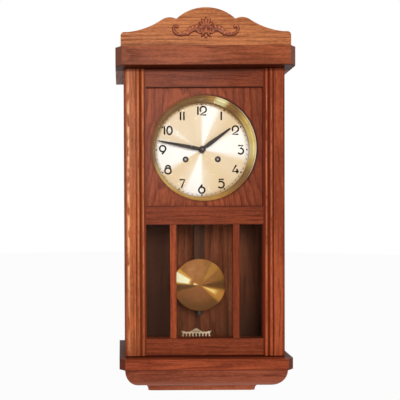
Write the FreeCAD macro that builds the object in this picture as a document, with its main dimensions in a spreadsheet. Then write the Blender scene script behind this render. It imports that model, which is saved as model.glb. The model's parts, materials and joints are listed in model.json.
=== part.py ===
"""Regulator wall clock: an oak case with a glazed door, a pendulum and a spring-driven striking movement.

Millimetres. The origin lies on the wall plane straight behind the hand arbor: +X is to the right as
the clock is seen, +Y goes into the wall and +Z is up. Depths are measured forward from the wall.
"""
import FreeCAD, Part
import math
import os

import Sketcher
from FreeCAD import Placement, Rotation, Vector

document = FreeCAD.newDocument("wall_clock")

# Driving dimensions. Heights are measured from the hand arbor, depths from the wall.
sizes = {
    # Case
    "case_width": 308.0,
    "side_thick": 14.0,
    "back_thick": 10.0,
    "side_depth": 123.4,
    "case_top": 174.0,
    "top_thick": 14.0,
    "case_drop": 401.0,
    "floor_thick": 8.0,
    # Cornice and crest
    "cornice_overhang": 16.0,
    "cornice_depth": 170.0,
    "cornice_bottom": 152.0,
    "cornice_cant": 12.0,
    "edge_round": 2.0,
    "crest_inset": 10.0,
    "crest_thick": 16.0,
    "crest_setback": 4.0,
    "crest_end_height": 27.0,
    "crest_end_round": 7.0,
    "crest_sweep_out": 146.0,
    "crest_ear_start": 82.0,
    "crest_ear_start_height": 50.0,
    "crest_ear_out": 69.0,
    "crest_ear_height": 54.0,
    "crest_notch_out": 55.5,
    "crest_notch_height": 51.0,
    "crest_height": 72.5,
    "crest_sweep_sag": 4.5,
    "carving_thick": 3.4,
    "carving_foot": 15.0,
    "carving_rise": 41.0,
    "carving_reach": 62.0,
    # Base
    "ledge_overhang": 11.0,
    "ledge_depth": 170.0,
    "ledge_thick": 21.0,
    "ledge_cant": 11.0,
    "ovolo_overhang": 0.5,
    "ovolo_depth": 163.0,
    "ovolo_radius": 28.0,
    "ovolo_fillet": 6.0,
    "foot_width": 216.0,
    "foot_depth": 100.0,
    "foot_cove": 7.0,
    "foot_cove_drop": 20.0,
    "foot_flare": 6.0,
    "foot_height": 29.0,
    # Door
    "door_gap": 0.6,
    "door_thick": 22.0,
    "door_clear": 1.0,
    "stile_width": 41.5,
    "stile_round": 4.0,
    "reed_width": 8.75,
    "reed_sink": 2.5,
    "reed_margin": 2.0,
    "rail_setback": 3.0,
    "rebate_width": 5.5,
    "rebate_front": 136.0,
    "top_rail_bottom": 116.0,
    "panel_drop": 111.5,
    "glass_top_drop": 147.6,
    "glass_bottom_drop": 366.5,
    "panel_thick": 8.0,
    "pane_thick": 3.0,
    "pane_clear": 0.3,
    "bead_depth": 6.0,
    "bar_width": 12.0,
    "bar_spacing": 121.0,
    # Bezel, dial glass and dial
    "bezel_radius": 101.5,
    "bezel_rise": 2.0,
    "bezel_bevel": 1.9,
    "bezel_sight": 92.0,
    "bezel_depth": 24.4,
    "bezel_wall": 1.1,
    "bezel_flange": 1.5,
    "bezel_clear": 0.4,
    "dial_glass_thick": 2.0,
    "dial_glass_sink": 3.0,
    "glass_ledge": 0.9,
    "dial_radius": 96.0,
    "dial_thick": 1.0,
    "dial_face": 104.0,
    "dial_foot_radius": 2.0,
    "dial_foot_out": 52.0,
    "pipe_hole": 4.6,
    "winding_hole": 5.4,
    # Hinges and catch
    "hinge_height": 50.0,
    "hinge_knuckle": 2.4,
    "hinge_pin": 1.1,
    "hinge_leaf": 1.2,
    "hinge_leaf_width": 13.0,
    "hinge_top_inset": 56.0,
    "hinge_foot_inset": 55.0,
    "running_gap": 0.05,
    "side_gap": 0.3,
    "screw_radius": 1.5,
    "screw_length": 11.0,
    "screw_spacing": 32.0,
    "screw_cover": 1.0,
    "catch_radius": 2.5,
    "catch_length": 9.0,
    "catch_end_gap": 1.0,
    "catch_drop": 128.0,
    # Wall hanger
    "hanger_width": 40.0,
    "hanger_thick": 2.5,
    "hanger_inset": 24.0,
    "hanger_rise": 24.0,
    "hanger_hole": 4.0,
    "hanger_hole_rise": 13.0,
    # Movement frame
    "back_plate_front": 69.0,
    "plate_thick": 2.0,
    "plate_space": 24.0,
    "plate_half_width": 68.0,
    "plate_rise": 68.0,
    "plate_fall": 54.0,
    "plate_corner": 6.0,
    "pillar_radius": 3.0,
    "pillar_inset": 6.5,
    "bracket_width": 8.0,
    "bracket_inner": 21.0,
    "bracket_height": 14.0,
    "bracket_flange": 44.0,
    "bracket_drop": 38.0,
    # Trains
    "winding_out": 32.0,
    "great_module": 1.2,
    "centre_module": 0.65,
    "third_module": 0.52,
    "strike_module": 0.6,
    "motion_module": 0.6,
    "escape_height": 38.5,
    "pivot_height": 56.0,
    "escape_radius": 12.8,
    "pallet_clear": 1.4,
    "drum_radius": 27.0,
    "winding_radius": 3.0,
    "winding_square": 3.6,
    "ratchet_radius": 9.0,
    "arbor_radius": 1.5,
    "fine_arbor": 0.8,
    "pivot_radius": 0.6,
    "wheel_thick": 1.5,
    "great_thick": 2.0,
    "strike_out": 8.0,
    # Places of the wheels between the plates and in front of them
    "going_great_set": 2.5,
    "strike_great_set": 4.5,
    "centre_set": 3.0,
    "third_set": 10.0,
    "escape_set": 2.0,
    "pin_wheel_set": 1.0,
    "drum_set": 3.5,
    "leaf_reach": 0.6,
    "rim_width": 2.6,
    "motion_gap": 1.2,
    "motion_reach": 0.4,
    "minute_post": 1.05,
    "pallet_thick": 3.0,
    # Hands
    "cannon_radius": 2.6,
    "hour_pipe": 3.8,
    "minute_hand": 88.0,
    "minute_hand_half": 3.4,
    "hour_hand": 70.0,
    "hour_hand_half": 3.6,
    "hand_thick": 0.7,
    "hand_boss": 7.0,
    "hour_pipe_rise": 5.0,
    "cannon_rise": 8.6,
    "hand_nut": 3.85,
    "hand_nut_thick": 2.0,
    "thread_stand": 0.4,
    # Strike
    "hammer_x": 60.0,
    "hammer_height": 10.0,
    "hammer_drop": 70.0,
    "hammer_head": 5.0,
    "hammer_arm_width": 4.0,
    "hammer_arm_thick": 3.0,
    "hammer_arm_depth": 36.0,
    "hammer_head_depth": 11.0,
    "hammer_gap": 1.2,
    "tail_width": 2.4,
    "tail_gap": 0.6,
    "pin_circle": 11.0,
    "pin_radius": 0.8,
    "pin_reach": 2.6,
    "fly_half": 9.5,
    "fly_thick": 1.0,
    "fly_back_gap": 3.0,
    "fly_front_gap": 2.0,
    "gong_rod": 1.75,
    "gong_out": 62.0,
    "gong_top": 78.0,
    "gong_length": 185.0,
    "gong_spacing": 11.0,
    "gong_block_half": 12.0,
    "gong_block_height": 20.0,
    # Pendulum
    "rod_width": 22.0,
    "rod_thick": 5.0,
    "rod_depth": 57.5,
    "rod_tail": 0.5,
    "spring_length": 12.0,
    "spring_width": 6.0,
    "spring_thick": 0.3,
    "bob_radius": 53.3,
    "bob_drop": 273.5,
    "bob_rim": 3.0,
    "bob_crown": 7.5,
    "bob_back": 2.0,
    "nut_radius": 6.0,
    "nut_height": 8.0,
    "stud_radius": 2.0,
    "stud_length": 4.0,
    "cock_half": 6.0,
    "cock_height": 7.0,
    "cock_reach": 4.8,
    "crutch_gap": 1.0,
    "crutch_thick": 1.6,
    "crutch_width": 3.2,
    "crutch_foot": 4.0,
    "fork_wall": 2.0,
    "fork_clear": 0.2,
    "fork_height": 4.0,
    "scale_width": 65.0,
    "scale_height": 18.5,
    "scale_top_drop": 373.5,
    "scale_thick": 1.2,
}

# Tooth counts of the trains. They set the couplings of the moving wheels.
GREAT_TEETH = 55
GREAT_PINION = 7
CENTRE_TEETH = 60
THIRD_PINION = 6
THIRD_TEETH = 63
ESCAPE_PINION = 6
ESCAPE_TEETH = 30
PIN_WHEEL_TEETH = 48
FLY_PINION = 6
CANNON_TEETH = 12
MINUTE_TEETH = 36
MINUTE_PINION = 10
HOUR_TEETH = 40
RATCHET_TEETH = 16
HAMMER_PINS = 8

# Small and hidden round pieces are drawn with a few flat sides. A cutting tool runs a little past its piece.
PEG_SIDES = 8
KNUCKLE_SIDES = 12
DRUM_SIDES = 24
OVER = 1.0

# The hands stand at 1:47, as angles clockwise from twelve.
MINUTE_ANGLE = 281.4
HOUR_ANGLE = 30.0 + MINUTE_ANGLE / 12.0

sheet = document.addObject("Spreadsheet::Sheet", "Sizes")
for row, (alias, number) in enumerate(sizes.items(), start=1):
    sheet.set("A%d" % row, alias)
    sheet.set("B%d" % row, str(number))
    sheet.setAlias("B%d" % row, alias)
document.recompute()


class Size:
    """A length, held both as its number and as the sheet expression that gives it."""

    def __init__(self, value, words):
        self.value = value
        self.words = words

    def join(self, other, sign, value):
        return Size(value, "(%s %s %s)" % (self.words, sign, other.words))

    def __add__(self, other):
        other = as_size(other)
        return self.join(other, "+", self.value + other.value)

    def __sub__(self, other):
        other = as_size(other)
        return self.join(other, "-", self.value - other.value)

    def __mul__(self, other):
        other = as_size(other)
        return self.join(other, "*", self.value * other.value)

    def __truediv__(self, other):
        other = as_size(other)
        return self.join(other, "/", self.value / other.value)

    def __neg__(self):
        return Size(-self.value, "(0 - %s)" % self.words)

    def root(self):
        return Size(math.sqrt(self.value), "sqrt(%s)" % self.words)


def as_size(number):
    if isinstance(number, Size):
        return number
    if number < 0:
        return Size(float(number), "(0 - %r)" % float(-number))
    return Size(float(number), "%r" % float(number))


def size(alias):
    return Size(float(sheet.get(alias)), "Sizes." + alias)


def bind(thing, name, length):
    thing.setExpression(name, as_size(length).words)


def span(low, high):
    return as_size(low), as_size(high)


# Makers of simple solids. Each depth is a pair, back then front, measured forward from the wall.
def block(name, across, depth, up):
    across, depth, up = span(*across), span(*depth), span(*up)
    piece = document.addObject("Part::Box", name)
    bind(piece, "Length", across[1] - across[0])
    bind(piece, "Width", depth[1] - depth[0])
    bind(piece, "Height", up[1] - up[0])
    bind(piece, "Placement.Base.x", across[0])
    bind(piece, "Placement.Base.y", -depth[1])
    bind(piece, "Placement.Base.z", up[0])
    return piece


def cylinder(name, radius):
    piece = document.addObject("Part::Cylinder", name)
    bind(piece, "Radius", radius)
    return piece


def prism(name, radius, sides):
    piece = document.addObject("Part::Prism", name)
    piece.Polygon = sides
    bind(piece, "Circumradius", radius)
    return piece


def laid(rod, depth, x, z):
    """Lay a rod so that it runs from the wall side to the front."""
    depth = span(*depth)
    rod.Placement = Placement(Vector(), Rotation(Vector(1, 0, 0), -90))
    bind(rod, "Height", depth[1] - depth[0])
    bind(rod, "Placement.Base.x", x)
    bind(rod, "Placement.Base.y", -depth[1])
    bind(rod, "Placement.Base.z", z)
    return rod


def stood(rod, x, depth, up):
    """Stand a rod upright."""
    up = span(*up)
    bind(rod, "Height", up[1] - up[0])
    bind(rod, "Placement.Base.x", x)
    bind(rod, "Placement.Base.y", -as_size(depth))
    bind(rod, "Placement.Base.z", up[0])
    return rod


def spindle(name, radius, depth, x=0, z=0):
    return laid(cylinder(name, radius), depth, x, z)


def peg(name, radius, depth, x=0, z=0):
    return laid(prism(name, radius, PEG_SIDES), depth, x, z)


def upright(name, radius, x, depth, up):
    return stood(cylinder(name, radius), x, depth, up)


def fuse(name, parts):
    piece = document.addObject("Part::MultiFuse", name)
    piece.Shapes = parts
    piece.Refine = True
    return piece


def cut(name, base, tools):
    tool = tools[0]
    if len(tools) > 1:
        tool = document.addObject("Part::MultiFuse", name + "_tools")
        tool.Shapes = tools
    piece = document.addObject("Part::Cut", name)
    piece.Base = base
    piece.Tool = tool
    return piece


def group(name, parts):
    piece = document.addObject("Part::Compound", name)
    piece.Links = parts
    return piece


def coded(name, shape, turn=0.0):
    """A piece whose form is worked out from the sheet's sizes in code, turned clockwise about the arbor."""
    piece = document.addObject("Part::Feature", name)
    piece.Shape = shape
    piece.Placement = Placement(Vector(), Rotation(Vector(0, 1, 0), turn))
    return piece


# Sketched solids. A path is a list of corners; an arc is a pair, a point on it and its end.
def plane_of(body, role):
    return next(feature for feature in body.Origin.OriginFeatures if feature.Role == role)


def fix_point(sketch, geometry, position, point):
    for kind, length in zip(("DistanceX", "DistanceY"), point):
        length = as_size(length)
        index = sketch.addConstraint(
            Sketcher.Constraint(kind, -1, 1, geometry, position, length.value))
        sketch.setExpression("Constraints[%d]" % index, length.words)


def flat(point):
    return Vector(as_size(point[0]).value, as_size(point[1]).value, 0)


def is_arc(step):
    return isinstance(step[0], (tuple, list))


def draw_outline(sketch, path):
    ends = [step[1] if is_arc(step) else step for step in path]
    first_positions = []
    last_positions = []
    for index, step in enumerate(path):
        start = ends[index - 1]
        end = ends[index]
        if is_arc(step):
            middle = step[0]
            chord = flat(end) - flat(start)
            lean = flat(middle) - flat(start)
            counter_clockwise = chord.x * lean.y - chord.y * lean.x < 0
            arc = Part.Arc(flat(start), flat(middle), flat(end))
            sketch.addGeometry(arc)
            first_positions.append(1 if counter_clockwise else 2)
            last_positions.append(2 if counter_clockwise else 1)
        else:
            sketch.addGeometry(Part.LineSegment(flat(start), flat(end)))
            first_positions.append(1)
            last_positions.append(2)
    count = len(path)
    for index in range(count):
        following = (index + 1) % count
        sketch.addConstraint(Sketcher.Constraint(
            "Coincident", index, last_positions[index], following, first_positions[following]))
        fix_point(sketch, index, last_positions[index], ends[index])
    for index, step in enumerate(path):
        if is_arc(step):
            mark = sketch.addGeometry(Part.Point(flat(step[0])), True)
            fix_point(sketch, mark, 1, step[0])
            sketch.addConstraint(Sketcher.Constraint("PointOnObject", mark, 1, index))


def draw_circle(sketch, centre, radius):
    radius = as_size(radius)
    circle = sketch.addGeometry(Part.Circle(flat(centre), Vector(0, 0, 1), radius.value))
    fix_point(sketch, circle, 3, centre)
    index = sketch.addConstraint(Sketcher.Constraint("Radius", circle, radius.value))
    sketch.setExpression("Constraints[%d]" % index, radius.words)


def new_sketch(body, name, role, start):
    sketch = body.newObject("Sketcher::SketchObject", name)
    sketch.AttachmentSupport = [(plane_of(body, role), "")]
    sketch.MapMode = "FlatFace"
    bind(sketch, "AttachmentOffset.Base.z", start)
    return sketch


def padded(name, role, path, start, length, circles=()):
    """A body padded from one sketch. On XZ_Plane the pad grows forward, on XY_Plane upward."""
    body = document.addObject("PartDesign::Body", name)
    sketch = new_sketch(body, name + "_outline", role, start)
    draw_outline(sketch, path)
    for centre, radius in circles:
        draw_circle(sketch, centre, radius)
    pad = body.newObject("PartDesign::Pad", name + "_pad")
    pad.Profile = sketch
    bind(pad, "Length", length)
    body.Tip = pad
    return body


def turned(name, path, z=0):
    """A body spun about the front-to-back axis. The path's corners are depth and radius."""
    body = document.addObject("PartDesign::Body", name)
    sketch = new_sketch(body, name + "_section", "YZ_Plane", 0)

    def placed(point):
        return -as_size(point[0]), as_size(point[1])

    draw_outline(sketch, [tuple(map(placed, step)) if is_arc(step) else placed(step) for step in path])
    spin = body.newObject("PartDesign::Revolution", name + "_spin")
    spin.Profile = sketch
    spin.ReferenceAxis = (sketch, ["H_Axis"])
    spin.Angle = 360
    body.Tip = spin
    bind(body, "Placement.Base.z", z)
    return body


def mirrored_path(right_half):
    """Close a symmetric outline from its right half, which runs from the bottom to the top centre."""
    def flip(point):
        return -as_size(point[0]), point[1]

    ends = [step[1] if is_arc(step) else step for step in right_half]
    left_half = []
    for index in range(len(right_half) - 1, 0, -1):
        step = right_half[index]
        start = flip(ends[index - 1])
        left_half.append((flip(step[0]), start) if is_arc(step) else start)
    return right_half + left_half


pieces = {}


def keep(node, piece):
    piece.Label = node
    pieces[node] = piece


# Shared places, worked out from the driving dimensions.
half_case = size("case_width") / 2
case_bottom = -size("case_drop")
inside = half_case - size("side_thick")
side_front = size("side_depth")
door_back = side_front + size("door_gap")
door_front = door_back + size("door_thick")
cornice_top = size("case_top") + size("top_thick")
half_cornice = half_case + size("cornice_overhang")
back_front = size("back_thick")

# Hinge line: the knuckles stand just outside the right-hand edge, level with the joint of door and case.
hinge_x = half_case + size("hinge_knuckle") + size("side_gap")
hinge_depth = side_front + size("door_gap") / 2
door_bottom = case_bottom + size("door_clear")
door_top = size("cornice_bottom") - size("door_clear")
hinge_heights = {"upper": door_top - size("hinge_top_inset"), "lower": door_bottom + size("hinge_foot_inset")}
leaf_inner = half_case - size("hinge_leaf_width")

# Wall hanger
hanger_half = size("hanger_width") / 2
hanger_bottom = size("case_top") - size("hanger_inset")
hanger_top = cornice_top + size("hanger_rise")
hanger_hole_height = cornice_top + size("hanger_hole_rise")

# Carcass: two sides, a back between them, a top board over all and a floor.
back_blank = block("back_board_blank", (-inside, inside), (0, back_front), (case_bottom, size("case_top")))
hanger_recess = block("hanger_recess", (-hanger_half, hanger_half), (0, size("hanger_thick")),
                      (hanger_bottom, size("case_top")))
hanger_screw_height = size("case_top") - size("hanger_inset") / 2
hanger_screw_depth = (0, back_front - size("screw_cover"))
hanger_pilots = [
    peg("hanger_pilot_%s" % side, size("screw_radius"), hanger_screw_depth, hanger_half * place,
        hanger_screw_height)
    for side, place in (("left", -0.5), ("right", 0.5))]
keep("back_board", cut("back_board", back_blank, [hanger_recess] + hanger_pilots))

left_blank = block("left_side_blank", (-half_case, -inside), (0, side_front), (case_bottom, size("case_top")))
catch_x = inside + size("side_thick") / 2
catch_socket = peg("catch_socket", size("catch_radius") + size("side_gap"),
                   (side_front - size("catch_length"), side_front + OVER), -catch_x, -size("catch_drop"))
keep("left_side", cut("left_side", left_blank, [catch_socket]))

right_blank = block("right_side_blank", (inside, half_case), (0, side_front), (case_bottom, size("case_top")))
case_cuts = []
door_cuts = []
screw_places = []
for level, height in hinge_heights.items():
    low = height - size("hinge_height") / 2
    high = height + size("hinge_height") / 2
    case_cuts.append(block("case_mortise_" + level, (leaf_inner, half_case + OVER),
                           (side_front - size("hinge_leaf"), side_front + OVER), (low, high)))
    door_cuts.append(block("door_mortise_" + level, (leaf_inner, half_case + OVER),
                           (door_back - OVER, door_back + size("hinge_leaf")), (low, high)))
    for end, sign in (("low", -0.5), ("high", 0.5)):
        place = ("%s_%s" % (level, end), height + size("screw_spacing") * sign)
        screw_places.append(place)
screw_x = half_case - size("hinge_leaf_width") / 2
hinge_screw_depth = (side_front - size("screw_length"), side_front)
for label, height in screw_places:
    case_cuts.append(peg("case_pilot_" + label, size("screw_radius"), hinge_screw_depth, screw_x, height))
keep("right_side", cut("right_side", right_blank, case_cuts))

top_blank = block("top_board_blank", (-half_case, half_case), (0, side_front), (size("case_top"), cornice_top))
hanger_notch = block("hanger_notch", (-hanger_half, hanger_half), (0, size("hanger_thick")),
                     (size("case_top"), cornice_top))
keep("top_board", cut("top_board", top_blank, [hanger_notch]))
keep("bottom_board", block("bottom_board", (-inside, inside), (back_front, side_front),
                           (case_bottom, case_bottom + size("floor_thick"))))


# Cornice: a front block with canted corners and a return along each side.
def canted_plan(half_width, back, front, cant):
    right_half = [
        (half_width, -back),
        (half_width, cant - front),
        (half_width - cant, -front),
    ]
    left_half = [(-across, along) for across, along in reversed(right_half)]
    return right_half + left_half


cornice_plan = canted_plan(half_cornice, side_front, size("cornice_depth"), size("cornice_cant"))
cornice_block = padded("cornice_front", "XY_Plane", cornice_plan, size("cornice_bottom"),
                       cornice_top - size("cornice_bottom"))
document.recompute()


def edges_along(shape, height, front_limit):
    """Names of the level edges at one height that lie forward of a depth."""
    names = []
    for index, edge in enumerate(shape.Edges, start=1):
        box = edge.BoundBox
        level = abs(box.ZMin - height) < 0.01 and abs(box.ZMax - height) < 0.01
        if level and box.YMin < -front_limit and box.YMax < -front_limit + 0.01:
            names.append("Edge%d" % index)
    return names


def round_edges(body, names, radius):
    base = body.Tip
    fillet = body.newObject("PartDesign::Fillet", body.Name + "_fillet")
    fillet.Base = (base, names)
    bind(fillet, "Radius", radius)
    body.Tip = fillet


cornice_edge_depth = (size("cornice_depth") - size("cornice_cant")).value
round_edges(cornice_block, edges_along(cornice_block.Shape, size("cornice_bottom").value, cornice_edge_depth),
            size("edge_round"))
keep("cornice_front", cornice_block)
keep("cornice_returns", group("cornice_returns", [
    block("cornice_return_left", (-half_cornice, -half_case), (0, side_front),
          (size("cornice_bottom"), cornice_top)),
    block("cornice_return_right", (half_case, half_cornice), (0, side_front),
          (size("cornice_bottom"), cornice_top))]))

# Crest board: square ends with rounded corners, a hollow sweep up to an ear, a notch and a round arch.
crest_front = size("cornice_depth") - size("crest_setback")
crest_back = crest_front - size("crest_thick")
half_crest = half_cornice - size("crest_inset")
end_level = cornice_top + size("crest_end_height")
corner_inset = size("crest_end_round") * (1 - math.sqrt(0.5))
sweep_middle = ((size("crest_sweep_out") + size("crest_ear_start")) / 2,
                cornice_top + (size("crest_end_height") + size("crest_ear_start_height")) / 2
                - size("crest_sweep_sag"))
crest_right = [
    (half_crest, cornice_top),
    (half_crest, end_level - size("crest_end_round")),
    ((half_crest - corner_inset, end_level - corner_inset),
     (half_crest - size("crest_end_round"), end_level)),
    (size("crest_sweep_out"), end_level),
    (sweep_middle, (size("crest_ear_start"), cornice_top + size("crest_ear_start_height"))),
    ((size("crest_ear_out"), cornice_top + size("crest_ear_height")),
     (size("crest_notch_out"), cornice_top + size("crest_notch_height"))),
]
crest_left = mirrored_path(crest_right)[len(crest_right):]
arch = ((as_size(0), cornice_top + size("crest_height")),
        (-size("crest_notch_out"), cornice_top + size("crest_notch_height")))
keep("crest_board", padded("crest_board", "XZ_Plane", crest_right + [arch] + crest_left,
                           crest_back, size("crest_thick")))

# Carved ornament: a fan of petals, a leaf to each side and a curl at each end, carved in low relief.
FAN_ANGLES = (-66, -44, -22, 0, 22, 44, 66)
PETAL_WIDTH = 0.3
LEAF_STEPS = 4


def lens(start, end, width, depth, thick):
    """A pointed leaf between two points of the front plane, raised from a depth."""
    along = end - start
    side = Vector(-along.z, 0, along.x)
    side.normalize()
    steps = [step / LEAF_STEPS for step in range(LEAF_STEPS)]
    upper = [start + along * step + side * width * 2 * step * (1 - step) for step in steps]
    lower = [end - along * step - side * width * 2 * step * (1 - step) for step in steps]
    face = Part.Face(Part.makePolygon(upper + lower + upper[:1]))
    face.translate(Vector(0, -depth, 0))
    return face.extrude(Vector(0, -thick, 0))


def button(middle, radius, depth, thick):
    """A round boss of the carving, drawn with a few sides."""
    corners = [middle + Vector(math.cos(turn) * radius, -depth, math.sin(turn) * radius)
               for turn in (math.tau * side / KNUCKLE_SIDES for side in range(KNUCKLE_SIDES))]
    face = Part.Face(Part.makePolygon(corners + corners[:1]))
    return face.extrude(Vector(0, -thick, 0))


def carving_shape():
    depth = crest_front.value
    thick = size("carving_thick").value
    rise = size("carving_rise").value
    reach = size("carving_reach").value
    foot = cornice_top.value + size("carving_foot").value
    root = Vector(0, 0, foot + rise * 0.1)
    solids = []
    for angle in FAN_ANGLES:
        turn = math.radians(angle)
        length = rise * 0.9 * (1 - 0.4 * abs(math.sin(turn)))
        tip = root + Vector(math.sin(turn) * length, 0, math.cos(turn) * length)
        solids.append(lens(root, tip, length * PETAL_WIDTH, depth, thick))
    for side in (-1, 1):
        curl = Vector(side * (reach - rise * 0.17), 0, foot + rise * 0.34)
        stem = Vector(side * reach * 0.12, 0, foot + rise * 0.3)
        bend = Vector(side * reach * 0.55, 0, foot + rise * 0.42)
        tip = Vector(side * reach * 0.8, 0, foot + rise * 0.62)
        low = Vector(side * reach * 0.5, 0, foot)
        solids.append(lens(stem, tip, rise * 0.3, depth, thick))
        solids.append(lens(bend, curl, rise * 0.22, depth, thick))
        solids.append(lens(stem, low, rise * 0.2, depth, thick))
        disc = button(curl, rise * 0.17, depth, thick)
        solids.append(disc.cut(button(curl, rise * 0.06, depth, thick)))
    return button(root, rise * 0.12, depth, thick).multiFuse(solids).removeSplitter()


keep("crest_carving", coded("crest_carving", carving_shape()))

# Base: a ledge with canted corners, a quarter-round moulding on three sides and a stepped foot.
ledge_bottom = case_bottom - size("ledge_thick")
ledge_body = padded("base_ledge", "XY_Plane",
                    canted_plan(half_case + size("ledge_overhang"), 0, size("ledge_depth"), size("ledge_cant")),
                    ledge_bottom, size("ledge_thick"))
keep("base_ledge", ledge_body)

ovolo_bottom = ledge_bottom - size("ovolo_fillet") - size("ovolo_radius")
ovolo_bend = size("ovolo_radius") * (1 - math.sqrt(0.5))
half_ovolo = half_case + size("ovolo_overhang")


def ovolo_edge(out):
    """One quarter-round edge, from the top corner down to the flat bottom."""
    return [
        (out, ledge_bottom),
        (out, ledge_bottom - size("ovolo_fillet")),
        ((out - ovolo_bend, ovolo_bottom + ovolo_bend),
         (out - size("ovolo_radius"), ovolo_bottom)),
    ]


def mirrored_edge(edge):
    """The same edge on the left-hand side, read from the bottom up."""
    def flip(point):
        return -as_size(point[0]), point[1]

    ends = [step[1] if is_arc(step) else step for step in edge]
    steps = [flip(ends[-1])]
    for index in range(len(edge) - 1, 0, -1):
        start = flip(ends[index - 1])
        steps.append((flip(edge[index][0]), start) if is_arc(edge[index]) else start)
    return steps


ovolo_right = ovolo_edge(half_ovolo)
ovolo_long = padded("ovolo_across", "XZ_Plane", ovolo_right + mirrored_edge(ovolo_right), 0,
                    size("ovolo_depth"))


def facing_front(edge):
    """Turn an edge drawn outward into depths on the side view, where forward is negative."""
    def flip(point):
        return -as_size(point[0]), point[1]

    return [tuple(map(flip, step)) if is_arc(step) else flip(step) for step in edge]


ovolo_side = padded("ovolo_side", "YZ_Plane",
                    facing_front(ovolo_edge(size("ovolo_depth"))) + [(0, ovolo_bottom), (0, ledge_bottom)],
                    -half_ovolo, half_ovolo * 2)
base_moulding = document.addObject("Part::Common", "base_moulding")
base_moulding.Base = ovolo_long
base_moulding.Tool = ovolo_side
keep("base_moulding", base_moulding)

foot_bottom = ovolo_bottom - size("foot_height")
foot_middle = ovolo_bottom - size("foot_cove_drop")


def foot_edge(out):
    """A small cove under the moulding, then a face that leans in to the bottom."""
    waist = out - size("foot_cove")
    bend = size("foot_cove") * math.sqrt(0.5)
    return [
        (out, ovolo_bottom),
        ((out - bend, ovolo_bottom - size("foot_cove_drop") * (1 - math.sqrt(0.5))),
         (waist, foot_middle)),
        (waist - size("foot_flare"), foot_bottom),
    ]


foot_right = foot_edge(size("foot_width") / 2)
foot_long = padded("foot_across", "XZ_Plane", foot_right + mirrored_edge(foot_right), 0, size("foot_depth"))
foot_side = padded("foot_side", "YZ_Plane",
                   facing_front(foot_edge(size("foot_depth"))) + [(0, foot_bottom), (0, ovolo_bottom)],
                   -size("foot_width") / 2, size("foot_width"))
base_foot = document.addObject("Part::Common", "base_foot")
base_foot.Base = foot_long
base_foot.Tool = foot_side
keep("base_foot", base_foot)

# Wall hanger: a steel plate let into the back board, with the hanging hole above the case top.
hanger_blank = block("wall_hanger_blank", (-hanger_half, hanger_half), (0, size("hanger_thick")),
                     (hanger_bottom, hanger_top))
hanger_through = (-OVER, size("hanger_thick") + OVER)
hanger_cuts = [spindle("hanging_hole", size("hanger_hole"), hanger_through, 0, hanger_hole_height)]
for side, place in (("left", -0.5), ("right", 0.5)):
    hanger_cuts.append(peg("hanger_screw_hole_" + side, size("screw_radius"), hanger_through,
                           hanger_half * place, hanger_screw_height))
keep("wall_hanger", cut("wall_hanger", hanger_blank, hanger_cuts))

# Hinges: two butt hinges let into the side and the stile. The door knuckle turns between two case ones.
knuckle_end = size("hinge_height") * 0.3
pin_bore = (size("hinge_pin") + size("running_gap")) / math.cos(math.pi / KNUCKLE_SIDES)


def hinge_leaf(name, height, depth, knuckles):
    low = height - size("hinge_height") / 2
    high = height + size("hinge_height") / 2
    leaf = block(name + "_plate", (leaf_inner, half_case), depth, (low, high))
    solids = [leaf]
    for number, (start, end) in enumerate(knuckles):
        solids.append(block("%s_wrap%d" % (name, number), (half_case, hinge_x), depth,
                            (height + start, height + end)))
        knuckle = prism("%s_knuckle%d" % (name, number), size("hinge_knuckle"), KNUCKLE_SIDES)
        solids.append(stood(knuckle, hinge_x, hinge_depth, (height + start, height + end)))
    bore = prism(name + "_bore", pin_bore, KNUCKLE_SIDES)
    holes = [stood(bore, hinge_x, hinge_depth, (low - OVER, high + OVER))]
    for end, sign in (("low", -0.5), ("high", 0.5)):
        holes.append(peg("%s_hole_%s" % (name, end), size("screw_radius"), (depth[0] - OVER, depth[1] + OVER),
                         screw_x, height + size("screw_spacing") * sign))
    return cut(name, fuse(name + "_blank", solids), holes)


half_hinge = size("hinge_height") / 2
case_knuckles = [(-half_hinge, knuckle_end - half_hinge), (half_hinge - knuckle_end, half_hinge)]
door_knuckles = [(knuckle_end - half_hinge + size("side_gap"), half_hinge - knuckle_end - size("side_gap"))]
case_leaf_depth = (side_front - size("hinge_leaf"), side_front)
door_leaf_depth = (door_back, door_back + size("hinge_leaf"))
keep("case_hinge_leaves", group("case_hinge_leaves", [
    hinge_leaf("case_leaf_" + level, height, case_leaf_depth, case_knuckles)
    for level, height in hinge_heights.items()]))
keep("door_hinge_leaves", group("door_hinge_leaves", [
    hinge_leaf("door_leaf_" + level, height, door_leaf_depth, door_knuckles)
    for level, height in hinge_heights.items()]))
keep("hinge_pins", group("hinge_pins", [
    upright("hinge_pin_" + level, size("hinge_pin"), hinge_x, hinge_depth,
            (height - half_hinge, height + half_hinge))
    for level, height in hinge_heights.items()]))

# Screws of the hanger and of the case leaves, sunk flush.
case_screws = [
    peg("hanger_screw_" + side, size("screw_radius"), hanger_screw_depth, hanger_half * place,
        hanger_screw_height)
    for side, place in (("left", -0.5), ("right", 0.5))]
for label, height in screw_places:
    case_screws.append(peg("hinge_screw_" + label, size("screw_radius"), hinge_screw_depth, screw_x, height))
keep("case_screws", group("case_screws", case_screws))

# Door: reeded stiles with a rebate behind, three rails between them.
stile_inner = half_case - size("stile_width")
rebate_inner = stile_inner + size("rebate_width")
reed_low = door_front - size("reed_sink")
reed_first = stile_inner + size("reed_margin")
reed_second = reed_first + size("reed_width")
reed_third = reed_second + size("reed_width")
round_in = size("stile_round") * (1 - math.sqrt(0.5))


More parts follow.
